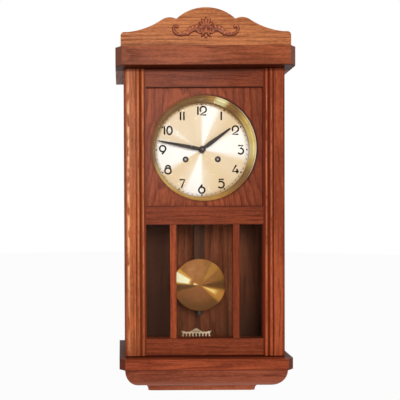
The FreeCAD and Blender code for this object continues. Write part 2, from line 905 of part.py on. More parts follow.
def stile_path(sign):
    """The stile's section seen from above; sign is -1 for the left stile and 1 for the right."""
    def at(out, depth):
        return out * sign, -depth

    return [
        at(half_case, door_back),
        at(half_case, door_front - size("stile_round")),
        (at(half_case - round_in, door_front - round_in), at(half_case - size("stile_round"), door_front)),
        at(reed_third, door_front),
        at(reed_third, reed_low),
        (at(reed_second + size("reed_width") / 2, door_front), at(reed_second, reed_low)),
        (at(reed_first + size("reed_width") / 2, door_front), at(reed_first, reed_low)),
        at(stile_inner, reed_low),
        at(stile_inner, size("rebate_front")),
        at(rebate_inner, size("rebate_front")),
        at(rebate_inner, door_back),
    ]


left_stile = padded("left_stile", "XY_Plane", stile_path(-1), door_bottom, door_top - door_bottom)
keep("left_stile", left_stile)
right_stile_blank = padded("right_stile_blank", "XY_Plane", stile_path(1), door_bottom,
                           door_top - door_bottom)
keep("right_stile", cut("right_stile", right_stile_blank, door_cuts))

rail_front = door_front - size("rail_setback")
panel_bottom = -size("panel_drop")
glass_top = -size("glass_top_drop")
glass_bottom = -size("glass_bottom_drop")
rebate = size("rebate_width")


def rail(name, low, high, low_rebate, high_rebate):
    front = block(name + "_front", (-stile_inner, stile_inner), (size("rebate_front"), rail_front), (low, high))
    rear = block(name + "_rear", (-rebate_inner, rebate_inner), (door_back, size("rebate_front")),
                 (low + low_rebate, high - high_rebate))
    return fuse(name, [front, rear])


keep("top_rail", rail("top_rail", size("top_rail_bottom"), door_top, rebate, 0))
keep("middle_rail", rail("middle_rail", glass_top, panel_bottom, rebate, rebate))
keep("bottom_rail", rail("bottom_rail", door_bottom, glass_bottom, 0, rebate))

# Dial panel, glass and glazing bars, all seated on the rebate.
panel_half = rebate_inner - size("pane_clear")
panel_back = size("rebate_front") - size("panel_thick")
panel_hole = size("bezel_radius") - size("bezel_flange")
panel_low = panel_bottom - rebate + size("pane_clear")
panel_high = size("top_rail_bottom") + rebate - size("pane_clear")
keep("dial_panel", padded("dial_panel", "XZ_Plane", [
    (-panel_half, panel_low),
    (panel_half, panel_low),
    (panel_half, panel_high),
    (-panel_half, panel_high)], panel_back, size("panel_thick"), [((0, 0), panel_hole)]))

pane_low = glass_bottom - rebate + size("pane_clear")
pane_high = glass_top + rebate - size("pane_clear")
pane_back = size("rebate_front") - size("pane_thick")
keep("lower_glass", block("lower_glass", (-panel_half, panel_half), (pane_back, size("rebate_front")),
                          (pane_low, pane_high)))
bead_back = pane_back - size("bead_depth")
bead_depth = (bead_back, pane_back)
keep("glass_beads", group("glass_beads", [
    block("glass_bead_left", (-rebate_inner, -stile_inner), bead_depth,
          (glass_bottom - rebate, glass_top + rebate)),
    block("glass_bead_right", (stile_inner, rebate_inner), bead_depth,
          (glass_bottom - rebate, glass_top + rebate)),
    block("glass_bead_low", (-stile_inner, stile_inner), bead_depth, (glass_bottom - rebate, glass_bottom)),
    block("glass_bead_high", (-stile_inner, stile_inner), bead_depth, (glass_top, glass_top + rebate))]))
half_bar = size("bar_width") / 2
bars = []
for side, sign in (("left", -1), ("right", 1)):
    bar_x = size("bar_spacing") / 2 * sign
    bars.append(block("glazing_bar_" + side, (bar_x - half_bar, bar_x + half_bar),
                      (size("rebate_front"), rail_front), (glass_bottom, glass_top)))
keep("glazing_bars", group("glazing_bars", bars))

# Bezel: spun brass. A bevelled lip lies on the panel and a deep slope runs back towards the dial. The glass
# is bedded on a ledge of the slope.
bezel_seat = size("rebate_front")
bezel_front = bezel_seat + size("bezel_rise")
bezel_back = bezel_front - size("bezel_depth")
bezel_mouth = size("bezel_radius") - size("bezel_bevel")
bezel_slope = (bezel_mouth - size("bezel_sight")) / size("bezel_depth")
spigot = panel_hole - size("bezel_clear")
glass_front = bezel_seat - size("dial_glass_sink")
glass_back = glass_front - size("dial_glass_thick")
ledge_radius = bezel_mouth - bezel_slope * (bezel_front - glass_back)
keep("bezel", turned("bezel", [
    (bezel_seat, size("bezel_radius")),
    (bezel_front, bezel_mouth),
    (glass_back, ledge_radius),
    (glass_back, ledge_radius - size("glass_ledge")),
    (bezel_back, size("bezel_sight")),
    (bezel_back, size("bezel_sight") + size("bezel_wall")),
    (bezel_seat, spigot)]))
keep("dial_glass", spindle("dial_glass", ledge_radius - size("pane_clear"), (glass_back, glass_front)))

# Catch: a stud on the left stile that enters a socket in the case side.
keep("door_catch", peg("door_catch", size("catch_radius"),
                       (side_front - size("catch_length") + size("catch_end_gap"), door_back),
                       -catch_x, -size("catch_drop")))

# Movement places. The winding arbors stand where the great wheels mesh with the pinions above them.
plate_back = size("back_plate_front") - size("plate_thick")
plate_front = size("back_plate_front") + size("plate_space")
front_face = plate_front + size("plate_thick")
great_distance = size("great_module") * ((GREAT_TEETH + GREAT_PINION) / 2)
winding_x = size("winding_out")
winding_z = -(great_distance * great_distance - winding_x * winding_x).root()
centre_distance = size("centre_module") * ((CENTRE_TEETH + THIRD_PINION) / 2)
third_distance = size("third_module") * ((THIRD_TEETH + ESCAPE_PINION) / 2)
escape_z = size("escape_height")
third_z = (centre_distance * centre_distance - third_distance * third_distance
           + escape_z * escape_z) / (escape_z * 2)
third_x = (centre_distance * centre_distance - third_z * third_z).root()
strike_x = -winding_x - size("strike_out")
strike_z = winding_z + (great_distance * great_distance - size("strike_out") * size("strike_out")).root()
fly_distance = size("strike_module") * ((PIN_WHEEL_TEETH + FLY_PINION) / 2)
fly_x = strike_x + fly_distance * math.sqrt(0.5)
fly_z = strike_z + fly_distance * math.sqrt(0.5)
motion_distance = size("motion_module") * ((CANNON_TEETH + MINUTE_TEETH) / 2)
hour_module = motion_distance.value * 2 / (MINUTE_PINION + HOUR_TEETH)
pivot_z = size("pivot_height")
hammer_x = -size("hammer_x")
hammer_z = size("hammer_height")
centre = (0.0, 0.0)
going_place = (winding_x.value, winding_z.value)
strike_barrel_place = (-winding_x.value, winding_z.value)
third_place = (third_x.value, third_z.value)
escape_place = (0.0, escape_z.value)
strike_place = (strike_x.value, strike_z.value)
fly_place = (fly_x.value, fly_z.value)
minute_place = (0.0, -motion_distance.value)
pivot_place = (0.0, pivot_z.value)
hammer_place = (hammer_x.value, hammer_z.value)

# Dial: a silvered disc on three feet that are soldered to it and stand on the front plate.
dial_face = size("dial_face")
dial_back = dial_face - size("dial_thick")
dial_disc = spindle("dial_disc", size("dial_radius"), (dial_back, dial_face))
dial_through = (dial_back - OVER, dial_face + OVER)
dial_cuts = [peg("dial_pipe_hole", size("pipe_hole"), dial_through)]
for side, sign in (("left", -1), ("right", 1)):
    dial_cuts.append(spindle("dial_winding_hole_" + side, size("winding_hole"), dial_through,
                             winding_x * sign, winding_z))
FOOT_TURNS = (90, 210, 330)
dial_feet = [
    peg("dial_foot_%d" % turn, size("dial_foot_radius"), (front_face, dial_back),
        size("dial_foot_out") * math.cos(math.radians(turn)),
        size("dial_foot_out") * math.sin(math.radians(turn)))
    for turn in FOOT_TURNS]
keep("dial", cut("dial", fuse("dial_blank", [dial_disc] + dial_feet), dial_cuts))


# Movement solids, worked out in code because of their teeth.
def shaft(place, radius, back, front):
    return Part.makeCylinder(radius, front - back, Vector(place[0], -front, place[1]), Vector(0, 1, 0))


def polygon(points, back, front):
    """A flat outline of the front plane, given thickness."""
    corners = [Vector(x, -front, z) for x, z in points]
    face = Part.Face(Part.makePolygon(corners + corners[:1]))
    return face.extrude(Vector(0, front - back, 0))


def around(place, radius, turn):
    return (place[0] + radius * math.cos(math.radians(turn)), place[1] + radius * math.sin(math.radians(turn)))


def facet_shaft(place, radius, back, front, sides=PEG_SIDES):
    """A small round bar drawn with a few flat sides."""
    return polygon([around(place, radius, 360.0 / sides * side) for side in range(sides)], back, front)


def facet_hole(place, radius, back, front, sides=PEG_SIDES):
    """A small round hole whose flat sides just clear a shaft of the radius."""
    return facet_shaft(place, radius / math.cos(math.pi / sides), back, front, sides)


# Tooth forms: tip height and root depth in modules, then half the root's width as a share of the tooth pitch.
WHEEL_TOOTH = (0.80, 1.25, 0.36)
PINION_LEAF = (0.55, 1.05, 0.30)


def gear(place, teeth, module, form, first_turn, back, front):
    tip_height, root_depth, root_share = form
    root = module * (teeth / 2 - root_depth)
    tip = module * (teeth / 2 + tip_height)
    step = 360.0 / teeth
    points = []
    for tooth in range(teeth):
        turn = first_turn + tooth * step
        points.append(around(place, root, turn - step * root_share))
        points.append(around(place, tip, turn))
        points.append(around(place, root, turn + step * root_share))
    return polygon(points, back, front)


def heading(start, end):
    return math.degrees(math.atan2(end[1] - start[1], end[0] - start[0]))


def meshing(wheel, pinion, wheel_teeth, pinion_teeth, module, back, front, reach):
    """A wheel with a tooth in the pinion's gap, and the pinion, which is longer by reach each way."""
    turn = heading(wheel, pinion)
    big = gear(wheel, wheel_teeth, module, WHEEL_TOOTH, turn, back, front)
    small = gear(pinion, pinion_teeth, module, PINION_LEAF, turn + 180 + 180.0 / pinion_teeth,
                 back - reach, front + reach)
    return big, small


# Spokes: each wheel is crossed out with a window between each pair of arms, given as shares of the step.
WINDOW_OUTER = (0.08, 0.36, 0.64, 0.92)
WINDOW_INNER = (0.75, 0.25)
HUB_RADII = 3.2
WHEEL_ARMS = 4


def crossed(wheel, place, arbor_radius, outer, arms, back, front):
    step = 360.0 / arms
    for arm in range(arms):
        corners = [around(place, outer, step * (arm + share)) for share in WINDOW_OUTER]
        corners += [around(place, arbor_radius * HUB_RADII, step * (arm + share)) for share in WINDOW_INNER]
        wheel = wheel.cut(polygon(corners, back - OVER, front + OVER))
    return wheel


inner_back = size("back_plate_front").value
inner_front = plate_front.value
arbor = size("arbor_radius").value
fine = size("fine_arbor").value
pivot = size("pivot_radius").value
running = size("running_gap").value
wheel_thick = size("wheel_thick").value
great_thick = size("great_thick").value
end_shake = size("side_gap").value
rim_width = size("rim_width").value
back_outside = plate_back.value
front_outside = front_face.value


def pivoted(place, radius, back_end, front_end):
    """An arbor between the plates with a fine pivot at each end."""
    body = facet_shaft(place, radius, inner_back + end_shake, inner_front - end_shake)
    back_pin = shaft(place, pivot, back_end, inner_back + end_shake)
    front_pin = facet_shaft(place, pivot, inner_front - end_shake, front_end)
    return body.multiFuse([back_pin, front_pin])


# Depths of the wheels between the plates.
going_great = inner_back + size("going_great_set").value
strike_great = inner_front - size("strike_great_set").value - great_thick
centre_plane = inner_front - size("centre_set").value
third_plane = inner_back + size("third_set").value
escape_plane = inner_back + size("escape_set").value
pin_plane = inner_back + size("pin_wheel_set").value
leaf_reach = size("leaf_reach").value

great_module = size("great_module").value
going_wheel, centre_pinion = meshing(going_place, centre, GREAT_TEETH, GREAT_PINION, great_module,
                                     going_great, going_great + great_thick, leaf_reach)
strike_wheel, strike_pinion = meshing(strike_barrel_place, strike_place, GREAT_TEETH, GREAT_PINION,
                                      great_module, strike_great, strike_great + great_thick, leaf_reach)
centre_wheel, third_pinion = meshing(centre, third_place, CENTRE_TEETH, THIRD_PINION,
                                     size("centre_module").value, centre_plane, centre_plane + wheel_thick,
                                     leaf_reach)
third_wheel, escape_pinion = meshing(third_place, escape_place, THIRD_TEETH, ESCAPE_PINION,
                                     size("third_module").value, third_plane, third_plane + wheel_thick,
                                     leaf_reach)
pin_wheel, fly_pinion = meshing(strike_place, fly_place, PIN_WHEEL_TEETH, FLY_PINION,
                                size("strike_module").value, pin_plane, pin_plane + wheel_thick, leaf_reach)


# Barrels: a drum with its great wheel at one end, turning on the winding arbor.
def barrel(place, wheel, drum_back, drum_front):
    drum = facet_shaft(place, size("drum_radius").value, drum_back, drum_front, DRUM_SIDES)
    bore = shaft(place, size("winding_radius").value + running, inner_back, inner_front)
    return drum.fuse(wheel).cut(bore)


keep("going_barrel", coded("going_barrel", barrel(going_place, going_wheel, going_great,
                                                  strike_great + great_thick)))
keep("strike_barrel", coded("strike_barrel", barrel(strike_barrel_place, strike_wheel,
                                                    pin_plane + wheel_thick + size("drum_set").value,
                                                    strike_great + great_thick)))

# Winding arbors: a square front end for the key and a ratchet wheel in front of the barrel.
ratchet_back = strike_great + great_thick + end_shake
ratchet_front = ratchet_back + wheel_thick
square = size("winding_square").value
ratchet_radius = size("ratchet_radius").value
TOOTH_ROOT = 0.84
RATCHET_UNDERCUT = 0.15


def ratchet(place, back, front):
    points = []
    step = 360.0 / RATCHET_TEETH
    for tooth in range(RATCHET_TEETH):
        points.append(around(place, ratchet_radius, tooth * step))
        points.append(around(place, ratchet_radius * TOOTH_ROOT, tooth * step + step * RATCHET_UNDERCUT))
    return polygon(points, back, front)


def winding_arbor(place):
    radius = size("winding_radius").value
    journal = shaft(place, radius, back_outside, inner_back)
    body = facet_shaft(place, radius, inner_back, inner_front - end_shake)
    neck = facet_shaft(place, square / math.sqrt(2), inner_front - end_shake, front_outside + end_shake)
    corner = square / 2
    key_end = polygon([(place[0] - corner, place[1] - corner), (place[0] + corner, place[1] - corner),
                       (place[0] + corner, place[1] + corner), (place[0] - corner, place[1] + corner)],
                      front_outside + end_shake, dial_face.value)
    return body.multiFuse([journal, neck, key_end, ratchet(place, ratchet_back, ratchet_front)])


keep("going_winding_arbor", coded("going_winding_arbor", winding_arbor(going_place)))
keep("strike_winding_arbor", coded("strike_winding_arbor", winding_arbor(strike_barrel_place)))


# Clicks: a spring blade on a post of the front plate, its tip just outside the ratchet's teeth. The post's
# place is in ratchet radii from the arbor and the tip's in degrees round from the post.
CLICK_POST = (1.6, 1.3)
CLICK_TURN = 34


def click(place, sign):
    post = (place[0] + sign * ratchet_radius * CLICK_POST[0], place[1] + ratchet_radius * CLICK_POST[1])
    tip_turn = heading(place, post) - sign * CLICK_TURN
    tip = around(place, ratchet_radius + end_shake, tip_turn)
    outer_tip = around(place, ratchet_radius + end_shake + wheel_thick, tip_turn)
    pillar = facet_shaft(post, arbor, ratchet_back, inner_front)
    side = Vector(post[1] - tip[1], 0, tip[0] - post[0])
    side.normalize()
    if side.dot(Vector(outer_tip[0] - tip[0], 0, outer_tip[1] - tip[1])) < 0:
        side = -side
    outer_post = (post[0] + side.x * arbor, post[1] + side.z * arbor)
    blade = polygon([tip, post, outer_post, outer_tip], ratchet_back, ratchet_front)
    return pillar.fuse(blade)


keep("click_springs", coded("click_springs", Part.makeCompound([
    click(going_place, 1), click(strike_barrel_place, -1)])))

# Going train arbors.
centre_module = size("centre_module").value
centre_crossed = crossed(centre_wheel, centre, arbor, centre_module * CENTRE_TEETH / 2 - rim_width, WHEEL_ARMS,
                         centre_plane, centre_plane + wheel_thick)
cannon_front = dial_face.value + size("cannon_rise").value
nut_front = cannon_front + size("hand_nut_thick").value
centre_long = facet_shaft(centre, arbor, inner_back + end_shake, nut_front + size("thread_stand").value)
keep("centre_arbor", coded("centre_arbor", centre_long.multiFuse([
    shaft(centre, pivot, back_outside, inner_back + end_shake), centre_pinion, centre_crossed])))
third_module = size("third_module").value
third_crossed = crossed(third_wheel, third_place, fine, third_module * THIRD_TEETH / 2 - rim_width, WHEEL_ARMS,
                        third_plane, third_plane + wheel_thick)
keep("third_arbor", coded("third_arbor", pivoted(third_place, fine, back_outside, front_outside).multiFuse([
    third_pinion, third_crossed])))


# The escape teeth's slope and steep face, as shares of the tooth pitch.
ESCAPE_LEAN = 0.2
ESCAPE_FACE = 0.3


def escape_wheel():
    """Pointed teeth that lean the way the wheel turns."""
    radius = size("escape_radius").value
    step = 360.0 / ESCAPE_TEETH
    points = []
    for tooth in range(ESCAPE_TEETH):
        turn = tooth * step
        points.append(around(escape_place, radius * TOOTH_ROOT, turn - step * ESCAPE_LEAN))
        points.append(around(escape_place, radius, turn + step * ESCAPE_LEAN))
        points.append(around(escape_place, radius * TOOTH_ROOT, turn + step * ESCAPE_FACE))
    wheel = polygon(points, escape_plane, escape_plane + wheel_thick)
    return crossed(wheel, escape_place, fine, radius * TOOTH_ROOT - rim_width / 2, WHEEL_ARMS, escape_plane,
                   escape_plane + wheel_thick)


keep("escape_arbor", coded("escape_arbor", pivoted(escape_place, fine, back_outside, front_outside).multiFuse([
    escape_pinion, escape_wheel()])))

# Strike train: the pin wheel lifts the hammer, the fly slows the strike.
PIN_SIDES = 6
pin_radius = size("pin_radius").value
pin_front = pin_plane + wheel_thick + size("pin_reach").value
hammer_pins = [
    facet_shaft(around(strike_place, size("pin_circle").value, 360.0 / HAMMER_PINS * number), pin_radius,
                pin_plane, pin_front, PIN_SIDES)
    for number in range(HAMMER_PINS)]
keep("pin_wheel_arbor", coded("pin_wheel_arbor", pivoted(
    strike_place, arbor, back_outside, front_outside).multiFuse([strike_pinion, pin_wheel] + hammer_pins)))
fly_half = size("fly_half").value
fly_edge = size("fly_thick").value / 2
fly_blade = polygon([(fly_place[0] + x * fly_half, fly_place[1] + z * fly_edge)
                     for x, z in ((-1, -1), (1, -1), (1, 1), (-1, 1))],
                    third_plane + size("fly_back_gap").value, centre_plane - size("fly_front_gap").value)
keep("fly_arbor", coded("fly_arbor", pivoted(fly_place, fine, back_outside, front_outside).multiFuse([
    fly_pinion, fly_blade])))

# Hammer: an arbor through the back plate, a tail beside the pins and an arm with a head behind the movement.
head_radius = size("hammer_head").value
gong_x = -size("gong_out").value
head_x = gong_x + size("gong_rod").value + head_radius + size("hammer_gap").value
head_z = hammer_place[1] - size("hammer_drop").value
arm_back = (back_front + size("hammer_arm_depth")).value
arm_front = arm_back + size("hammer_arm_thick").value
tail_gap = size("tail_gap").value
tail_reach = math.dist(hammer_place, strike_place) - size("pin_circle").value - pin_radius - tail_gap
tail_turn = heading(hammer_place, strike_place)


def bar_between(start, end, width, back, front):
    along = Vector(end[0] - start[0], 0, end[1] - start[1])
    side = Vector(-along.z, 0, along.x)
    side.normalize()
    side = side * width / 2
    return polygon([(start[0] + side.x, start[1] + side.z), (end[0] + side.x, end[1] + side.z),
                    (end[0] - side.x, end[1] - side.z), (start[0] - side.x, start[1] - side.z)], back, front)


hammer_body = facet_shaft(hammer_place, arbor, arm_back, inner_front - end_shake)
hammer_tip = shaft(hammer_place, pivot, inner_front - end_shake, front_outside)
hammer_tail = bar_between(hammer_place, around(hammer_place, tail_reach, tail_turn), size("tail_width").value,
                          pin_plane + wheel_thick + tail_gap, pin_front)
hammer_hub = facet_shaft(hammer_place, arbor * 2, arm_back, arm_front)
hammer_arm = bar_between(hammer_place, (head_x, head_z), size("hammer_arm_width").value, arm_back, arm_front)
head_back = (back_front + size("hammer_head_depth")).value
hammer_head = facet_shaft((head_x, head_z), head_radius, head_back, arm_front, KNUCKLE_SIDES)
keep("hammer", coded("hammer", hammer_body.multiFuse([hammer_tip, hammer_tail, hammer_hub, hammer_arm,
                                                      hammer_head])))

# Gong: steel rods that hang from a cast block on the back board, behind the movement.
gong_front = back_front + size("gong_spacing") * 3
gong_mid = (back_front + gong_front) / 2
gong_depths = [gong_mid - size("gong_spacing") / 2, gong_mid + size("gong_spacing") / 2]
gong_middle = -size("gong_out")
gong_half = size("gong_block_half")
keep("gong_block", block("gong_block", (gong_middle - gong_half, gong_middle + gong_half),
                         (back_front, gong_front),
                         (size("gong_top"), size("gong_top") + size("gong_block_height"))))
keep("gong_rods", group("gong_rods", [
    stood(prism("gong_rod_%d" % number, size("gong_rod"), PEG_SIDES), gong_middle, depth,
          (size("gong_top") - size("gong_length"), size("gong_top")))
    for number, depth in enumerate(gong_depths)]))

# Motion work: the cannon pinion and minute hand, the minute wheel, the hour wheel and hour hand.
motion_module = size("motion_module").value
motion_gap = size("motion_gap").value
motion_reach = size("motion_reach").value
cannon_plane = front_outside + motion_gap
hour_plane = cannon_plane + wheel_thick + motion_gap
minute_turn = heading(minute_place, centre)
minute_gear = gear(minute_place, MINUTE_TEETH, motion_module, WHEEL_TOOTH, minute_turn, cannon_plane,
                   cannon_plane + wheel_thick)
cannon_gear = gear(centre, CANNON_TEETH, motion_module, PINION_LEAF, minute_turn + 180 + 180.0 / CANNON_TEETH,
                   cannon_plane - motion_reach, cannon_plane + wheel_thick + motion_reach)
hour_gear = gear(centre, HOUR_TEETH, hour_module, WHEEL_TOOTH, minute_turn + 180, hour_plane,
                 hour_plane + wheel_thick)
minute_leaves = gear(minute_place, MINUTE_PINION, hour_module, PINION_LEAF,
                     minute_turn + 180.0 / MINUTE_PINION, cannon_plane + wheel_thick,
                     hour_plane + wheel_thick + motion_reach)
cannon_neck = cannon_plane + wheel_thick + motion_reach
cannon_foot = facet_shaft(centre, size("cannon_radius").value, front_outside + end_shake, cannon_neck)
cannon_tube = shaft(centre, size("cannon_radius").value, cannon_neck, cannon_front)
cannon_bore = facet_hole(centre, arbor + running, front_outside, cannon_front)
keep("cannon_pinion", coded("cannon_pinion", cannon_tube.multiFuse([cannon_foot, cannon_gear]).cut(cannon_bore)))
hour_front = dial_face.value + size("hour_pipe_rise").value
hour_bore = facet_hole(centre, size("cannon_radius").value + running, hour_plane, hour_front)
hour_tube = shaft(centre, size("hour_pipe").value, hour_plane, hour_front)
keep("hour_wheel", coded("hour_wheel", hour_tube.fuse(hour_gear).cut(hour_bore)))
minute_post = shaft(minute_place, size("minute_post").value, inner_front, cannon_plane)
keep("minute_wheel", coded("minute_wheel", minute_gear.multiFuse([minute_leaves, minute_post])))


def hand(length, boss, waist, back, thick, bore):
    """A tapered blade that points to twelve and swells a little past its round boss."""
    half = [(waist * 0.5, boss * 0.6), (waist, length * 0.27), (waist * 0.25, length * 0.97)]
    outline = half + [(0.0, length)] + [(-x, z) for x, z in reversed(half)]
    blade = polygon(outline, back, back + thick)
    disc = shaft(centre, boss, back, back + thick)
    return disc.fuse(blade).cut(shaft(centre, bore, back - OVER, back + thick + OVER))


hand_thick = size("hand_thick").value
hour_hand_back = hour_front - hand_thick
minute_hand_back = cannon_front - hand_thick
keep("hour_hand", coded("hour_hand", hand(
    size("hour_hand").value, size("hand_boss").value, size("hour_hand_half").value, hour_hand_back,
    hand_thick, size("hour_pipe").value), HOUR_ANGLE))
keep("minute_hand", coded("minute_hand", hand(
    size("minute_hand").value, size("hand_boss").value, size("minute_hand_half").value, minute_hand_back,
    hand_thick, size("cannon_radius").value), MINUTE_ANGLE))
nut_disc = shaft(centre, size("hand_nut").value, cannon_front, nut_front)
keep("hand_nut", coded("hand_nut", nut_disc.cut(facet_hole(centre, arbor + running, cannon_front, nut_front))))

# Plates: brass, with a hole for each pivot, riveted to four pillars.
half_plate = size("plate_half_width").value
plate_low = -size("plate_fall").value
plate_high = size("plate_rise").value
pillar_in = size("pillar_inset").value
pillar_places = [(x * (half_plate - pillar_in), z) for x in (-1, 1)
                 for z in (plate_low + pillar_in, plate_high - pillar_in)]
fine_hole = pivot + running
wide_hole = arbor + running
square_hole = square / math.sqrt(2) + running
winding_bore = size("winding_radius").value + running
both_holes = [(third_place, fine_hole), (escape_place, fine_hole), (strike_place, fine_hole),
              (fly_place, fine_hole)]
front_holes = both_holes + [(centre, wide_hole), (hammer_place, fine_hole), (pivot_place, fine_hole),
                            (going_place, square_hole), (strike_barrel_place, square_hole),
                            (minute_place, size("minute_post").value + running)]
back_holes = both_holes + [(centre, fine_hole), (hammer_place, wide_hole), (pivot_place, wide_hole),
                           (going_place, winding_bore), (strike_barrel_place, winding_bore)]


def plate(back, front, holes):
    corner = size("plate_corner").value
    outline = []
    for x, z in ((half_plate, plate_low), (half_plate, plate_high), (-half_plate, plate_high),
                 (-half_plate, plate_low)):
        x_in = x - math.copysign(corner, x)
        z_in = z - math.copysign(corner, z)
        pair = [(x_in, z), (x, z_in)]
        outline += pair if (x > 0) == (z < 0) else pair[::-1]
    shape = polygon(outline, back, front)
    for place, radius in holes:
        shape = shape.cut(facet_hole(place, radius, back - OVER, front + OVER))
    return shape


keep("front_plate", coded("front_plate", plate(inner_front, front_outside, front_holes)))
keep("back_plate", coded("back_plate", plate(back_outside, inner_back, back_holes)))
keep("plate_pillars", coded("plate_pillars", Part.makeCompound([
    facet_shaft(place, size("pillar_radius").value, inner_back, inner_front) for place in pillar_places])))

# Brackets: two iron angles from the back board to the back plate, one each side of the pendulum.
bracket_top = -size("bracket_drop") + size("bracket_height") / 2
bracket_bottom = -size("bracket_drop") - size("bracket_height") / 2
brackets = []
for side, sign in (("left", -1), ("right", 1)):
    near = size("bracket_inner") * sign
    far = (size("bracket_inner") + size("bracket_width")) * sign
    across = (near, far) if sign > 0 else (far, near)
    arm = block("bracket_arm_" + side, across, (back_front, plate_back), (bracket_bottom, bracket_top))
    flange = block("bracket_flange_" + side, across, (back_front, back_front + size("plate_thick")),
                   (-size("bracket_drop") - size("bracket_flange") / 2,
                    -size("bracket_drop") + size("bracket_flange") / 2))
    brackets.append(fuse("bracket_" + side, [arm, flange]))
keep("movement_brackets", group("movement_brackets", brackets))

# Pendulum: a suspension cock on the back plate, a flat spring, the rod, the bob and its rating nut.
rod_back = size("rod_depth")
rod_front = rod_back + size("rod_thick")
rod_middle = (rod_back + rod_front) / 2
half_spring = size("spring_length") / 2
spring_low = pivot_z - half_spring
spring_high = pivot_z + half_spring
keep("suspension_cock", block("suspension_cock", (-size("cock_half"), size("cock_half")),
                              (rod_middle - size("cock_reach"), plate_back),
                              (spring_high, spring_high + size("cock_height"))))
keep("suspension_spring", block("suspension_spring", (-size("spring_thick") / 2, size("spring_thick") / 2),
                                (rod_middle - size("spring_width") / 2, rod_middle + size("spring_width") / 2),
                                (spring_low, spring_high)))
half_rod = size("rod_width") / 2
bob_middle = -size("bob_drop")
bob_top = bob_middle + size("bob_radius")
rod_end = bob_middle - size("bob_radius") - size("rod_tail")
keep("pendulum_rod", block("pendulum_rod", (-half_rod, half_rod), (rod_back, rod_front), (rod_end, spring_low)))

# Bob: a spun brass lens, its shallow dome drawn in two bands, with a channel down its back for the rod.
bob_back = rod_back - size("bob_back")
bob_rim = rod_front + size("bob_rim")
bob_front = bob_rim + size("bob_crown")
bob_blank = turned("bob_blank", [
    (bob_back, 0),
    (bob_back, size("bob_radius")),
    (bob_rim, size("bob_radius")),
    (bob_rim + size("bob_crown") * 0.62, size("bob_radius") * 0.62),
    (bob_front, size("bob_radius") * 0.08),
    (bob_front, 0)], bob_middle)
bob_channel = block("bob_channel", (-half_rod, half_rod), (bob_back - OVER, rod_front),
                    (bob_middle - size("bob_radius") - OVER, bob_top + OVER))
keep("pendulum_bob", cut("pendulum_bob", bob_blank, [bob_channel]))

# Rating nut: knurled brass under the bob on the rod's threaded end.
nut_low = rod_end - size("nut_height")
nut_blank = stood(prism("rating_nut_body", size("nut_radius"), KNUCKLE_SIDES), 0, rod_middle,
                  (nut_low, rod_end))
nut_stud = stood(prism("rating_nut_stud", size("stud_radius"), PEG_SIDES), 0, rod_middle,
                 (nut_low - size("stud_length"), nut_low))
keep("rating_nut", fuse("rating_nut", [nut_blank, nut_stud]))

# Anchor: pallets over the escape wheel, an arbor through the back plate, a crutch that forks round the rod.
pallet_inner = size("escape_radius").value + size("pallet_clear").value
pallet_outer = pallet_inner + size("pallet_thick").value
PALLET_SPREAD = 52.0


def anchor_bow():
    """A bow that spans the escape wheel, its ends turned in as pallets."""
    start = 90 - PALLET_SPREAD
    end = 90 + PALLET_SPREAD
    def rim(radius, turn):
        x, z = around(escape_place, radius, turn)
        return Vector(x, -(escape_plane + wheel_thick), z)
    outer = Part.Arc(rim(pallet_outer, start), rim(pallet_outer, 90), rim(pallet_outer, end)).toShape()
    inner = Part.Arc(rim(pallet_inner, end), rim(pallet_inner, 90), rim(pallet_inner, start)).toShape()
    left = Part.makeLine(rim(pallet_outer, end), rim(pallet_inner, end))
    right = Part.makeLine(rim(pallet_inner, start), rim(pallet_outer, start))
    face = Part.Face(Part.Wire([outer, left, inner, right]))
    return face.extrude(Vector(0, wheel_thick, 0))


crutch_back = (rod_front + size("crutch_gap")).value
crutch_front = crutch_back + size("crutch_thick").value
crutch_foot = size("crutch_foot").value
fork_top = crutch_foot + size("fork_height").value
fork_in = half_rod.value + size("fork_clear").value
fork_out = fork_in + size("fork_wall").value
anchor_hub = facet_shaft(pivot_place, arbor * 2, escape_plane, escape_plane + wheel_thick)
anchor_arbor = facet_shaft(pivot_place, arbor, crutch_back, inner_front - end_shake)
anchor_tip = shaft(pivot_place, pivot, inner_front - end_shake, front_outside)
crutch_hub = facet_shaft(pivot_place, arbor * 2, crutch_back, crutch_front)
crutch_arm = bar_between(pivot_place, (0.0, crutch_foot), size("crutch_width").value, crutch_back, crutch_front)


def fork_piece(left, right, back):
    return polygon([(left, crutch_foot), (right, crutch_foot), (right, fork_top), (left, fork_top)],
                   back, crutch_front)


fork_bar = fork_piece(-fork_out, fork_out, crutch_back)
fork_tines = [fork_piece(-fork_out, -fork_in, rod_middle.value),
              fork_piece(fork_in, fork_out, rod_middle.value)]
keep("pallet_anchor", coded("pallet_anchor", anchor_arbor.multiFuse(
    [anchor_tip, anchor_hub, anchor_bow(), crutch_hub, crutch_arm, fork_bar] + fork_tines)))

# Beat scale: a pierced plate on the back board below the bob, with horned ends and a pointed crown.
half_scale = size("scale_width") / 2
scale_rise = size("scale_height")
scale_top = -size("scale_top_drop")
scale_bottom = scale_top - scale_rise
scale_blank = padded("scale_blank", "XZ_Plane", mirrored_path([
    (half_scale * 0.96, scale_bottom),
    (half_scale * 0.88, scale_bottom + scale_rise * 0.4),
    (half_scale, scale_bottom + scale_rise * 0.8),
    (half_scale * 0.7, scale_bottom + scale_rise * 0.6),
    (half_scale * 0.24, scale_bottom + scale_rise * 0.7),
    (0, scale_top)]), back_front, size("scale_thick"))
PIERCINGS = (-0.7, -0.42, -0.14, 0.14, 0.42, 0.7)
scale_through = (back_front - OVER, back_front + size("scale_thick") + OVER)
keep("beat_scale", cut("beat_scale", scale_blank, [
    peg("scale_piercing_%d" % number, half_scale * 0.1, scale_through, half_scale * place,
        scale_bottom + scale_rise * 0.36)
    for number, place in enumerate(PIERCINGS)]))

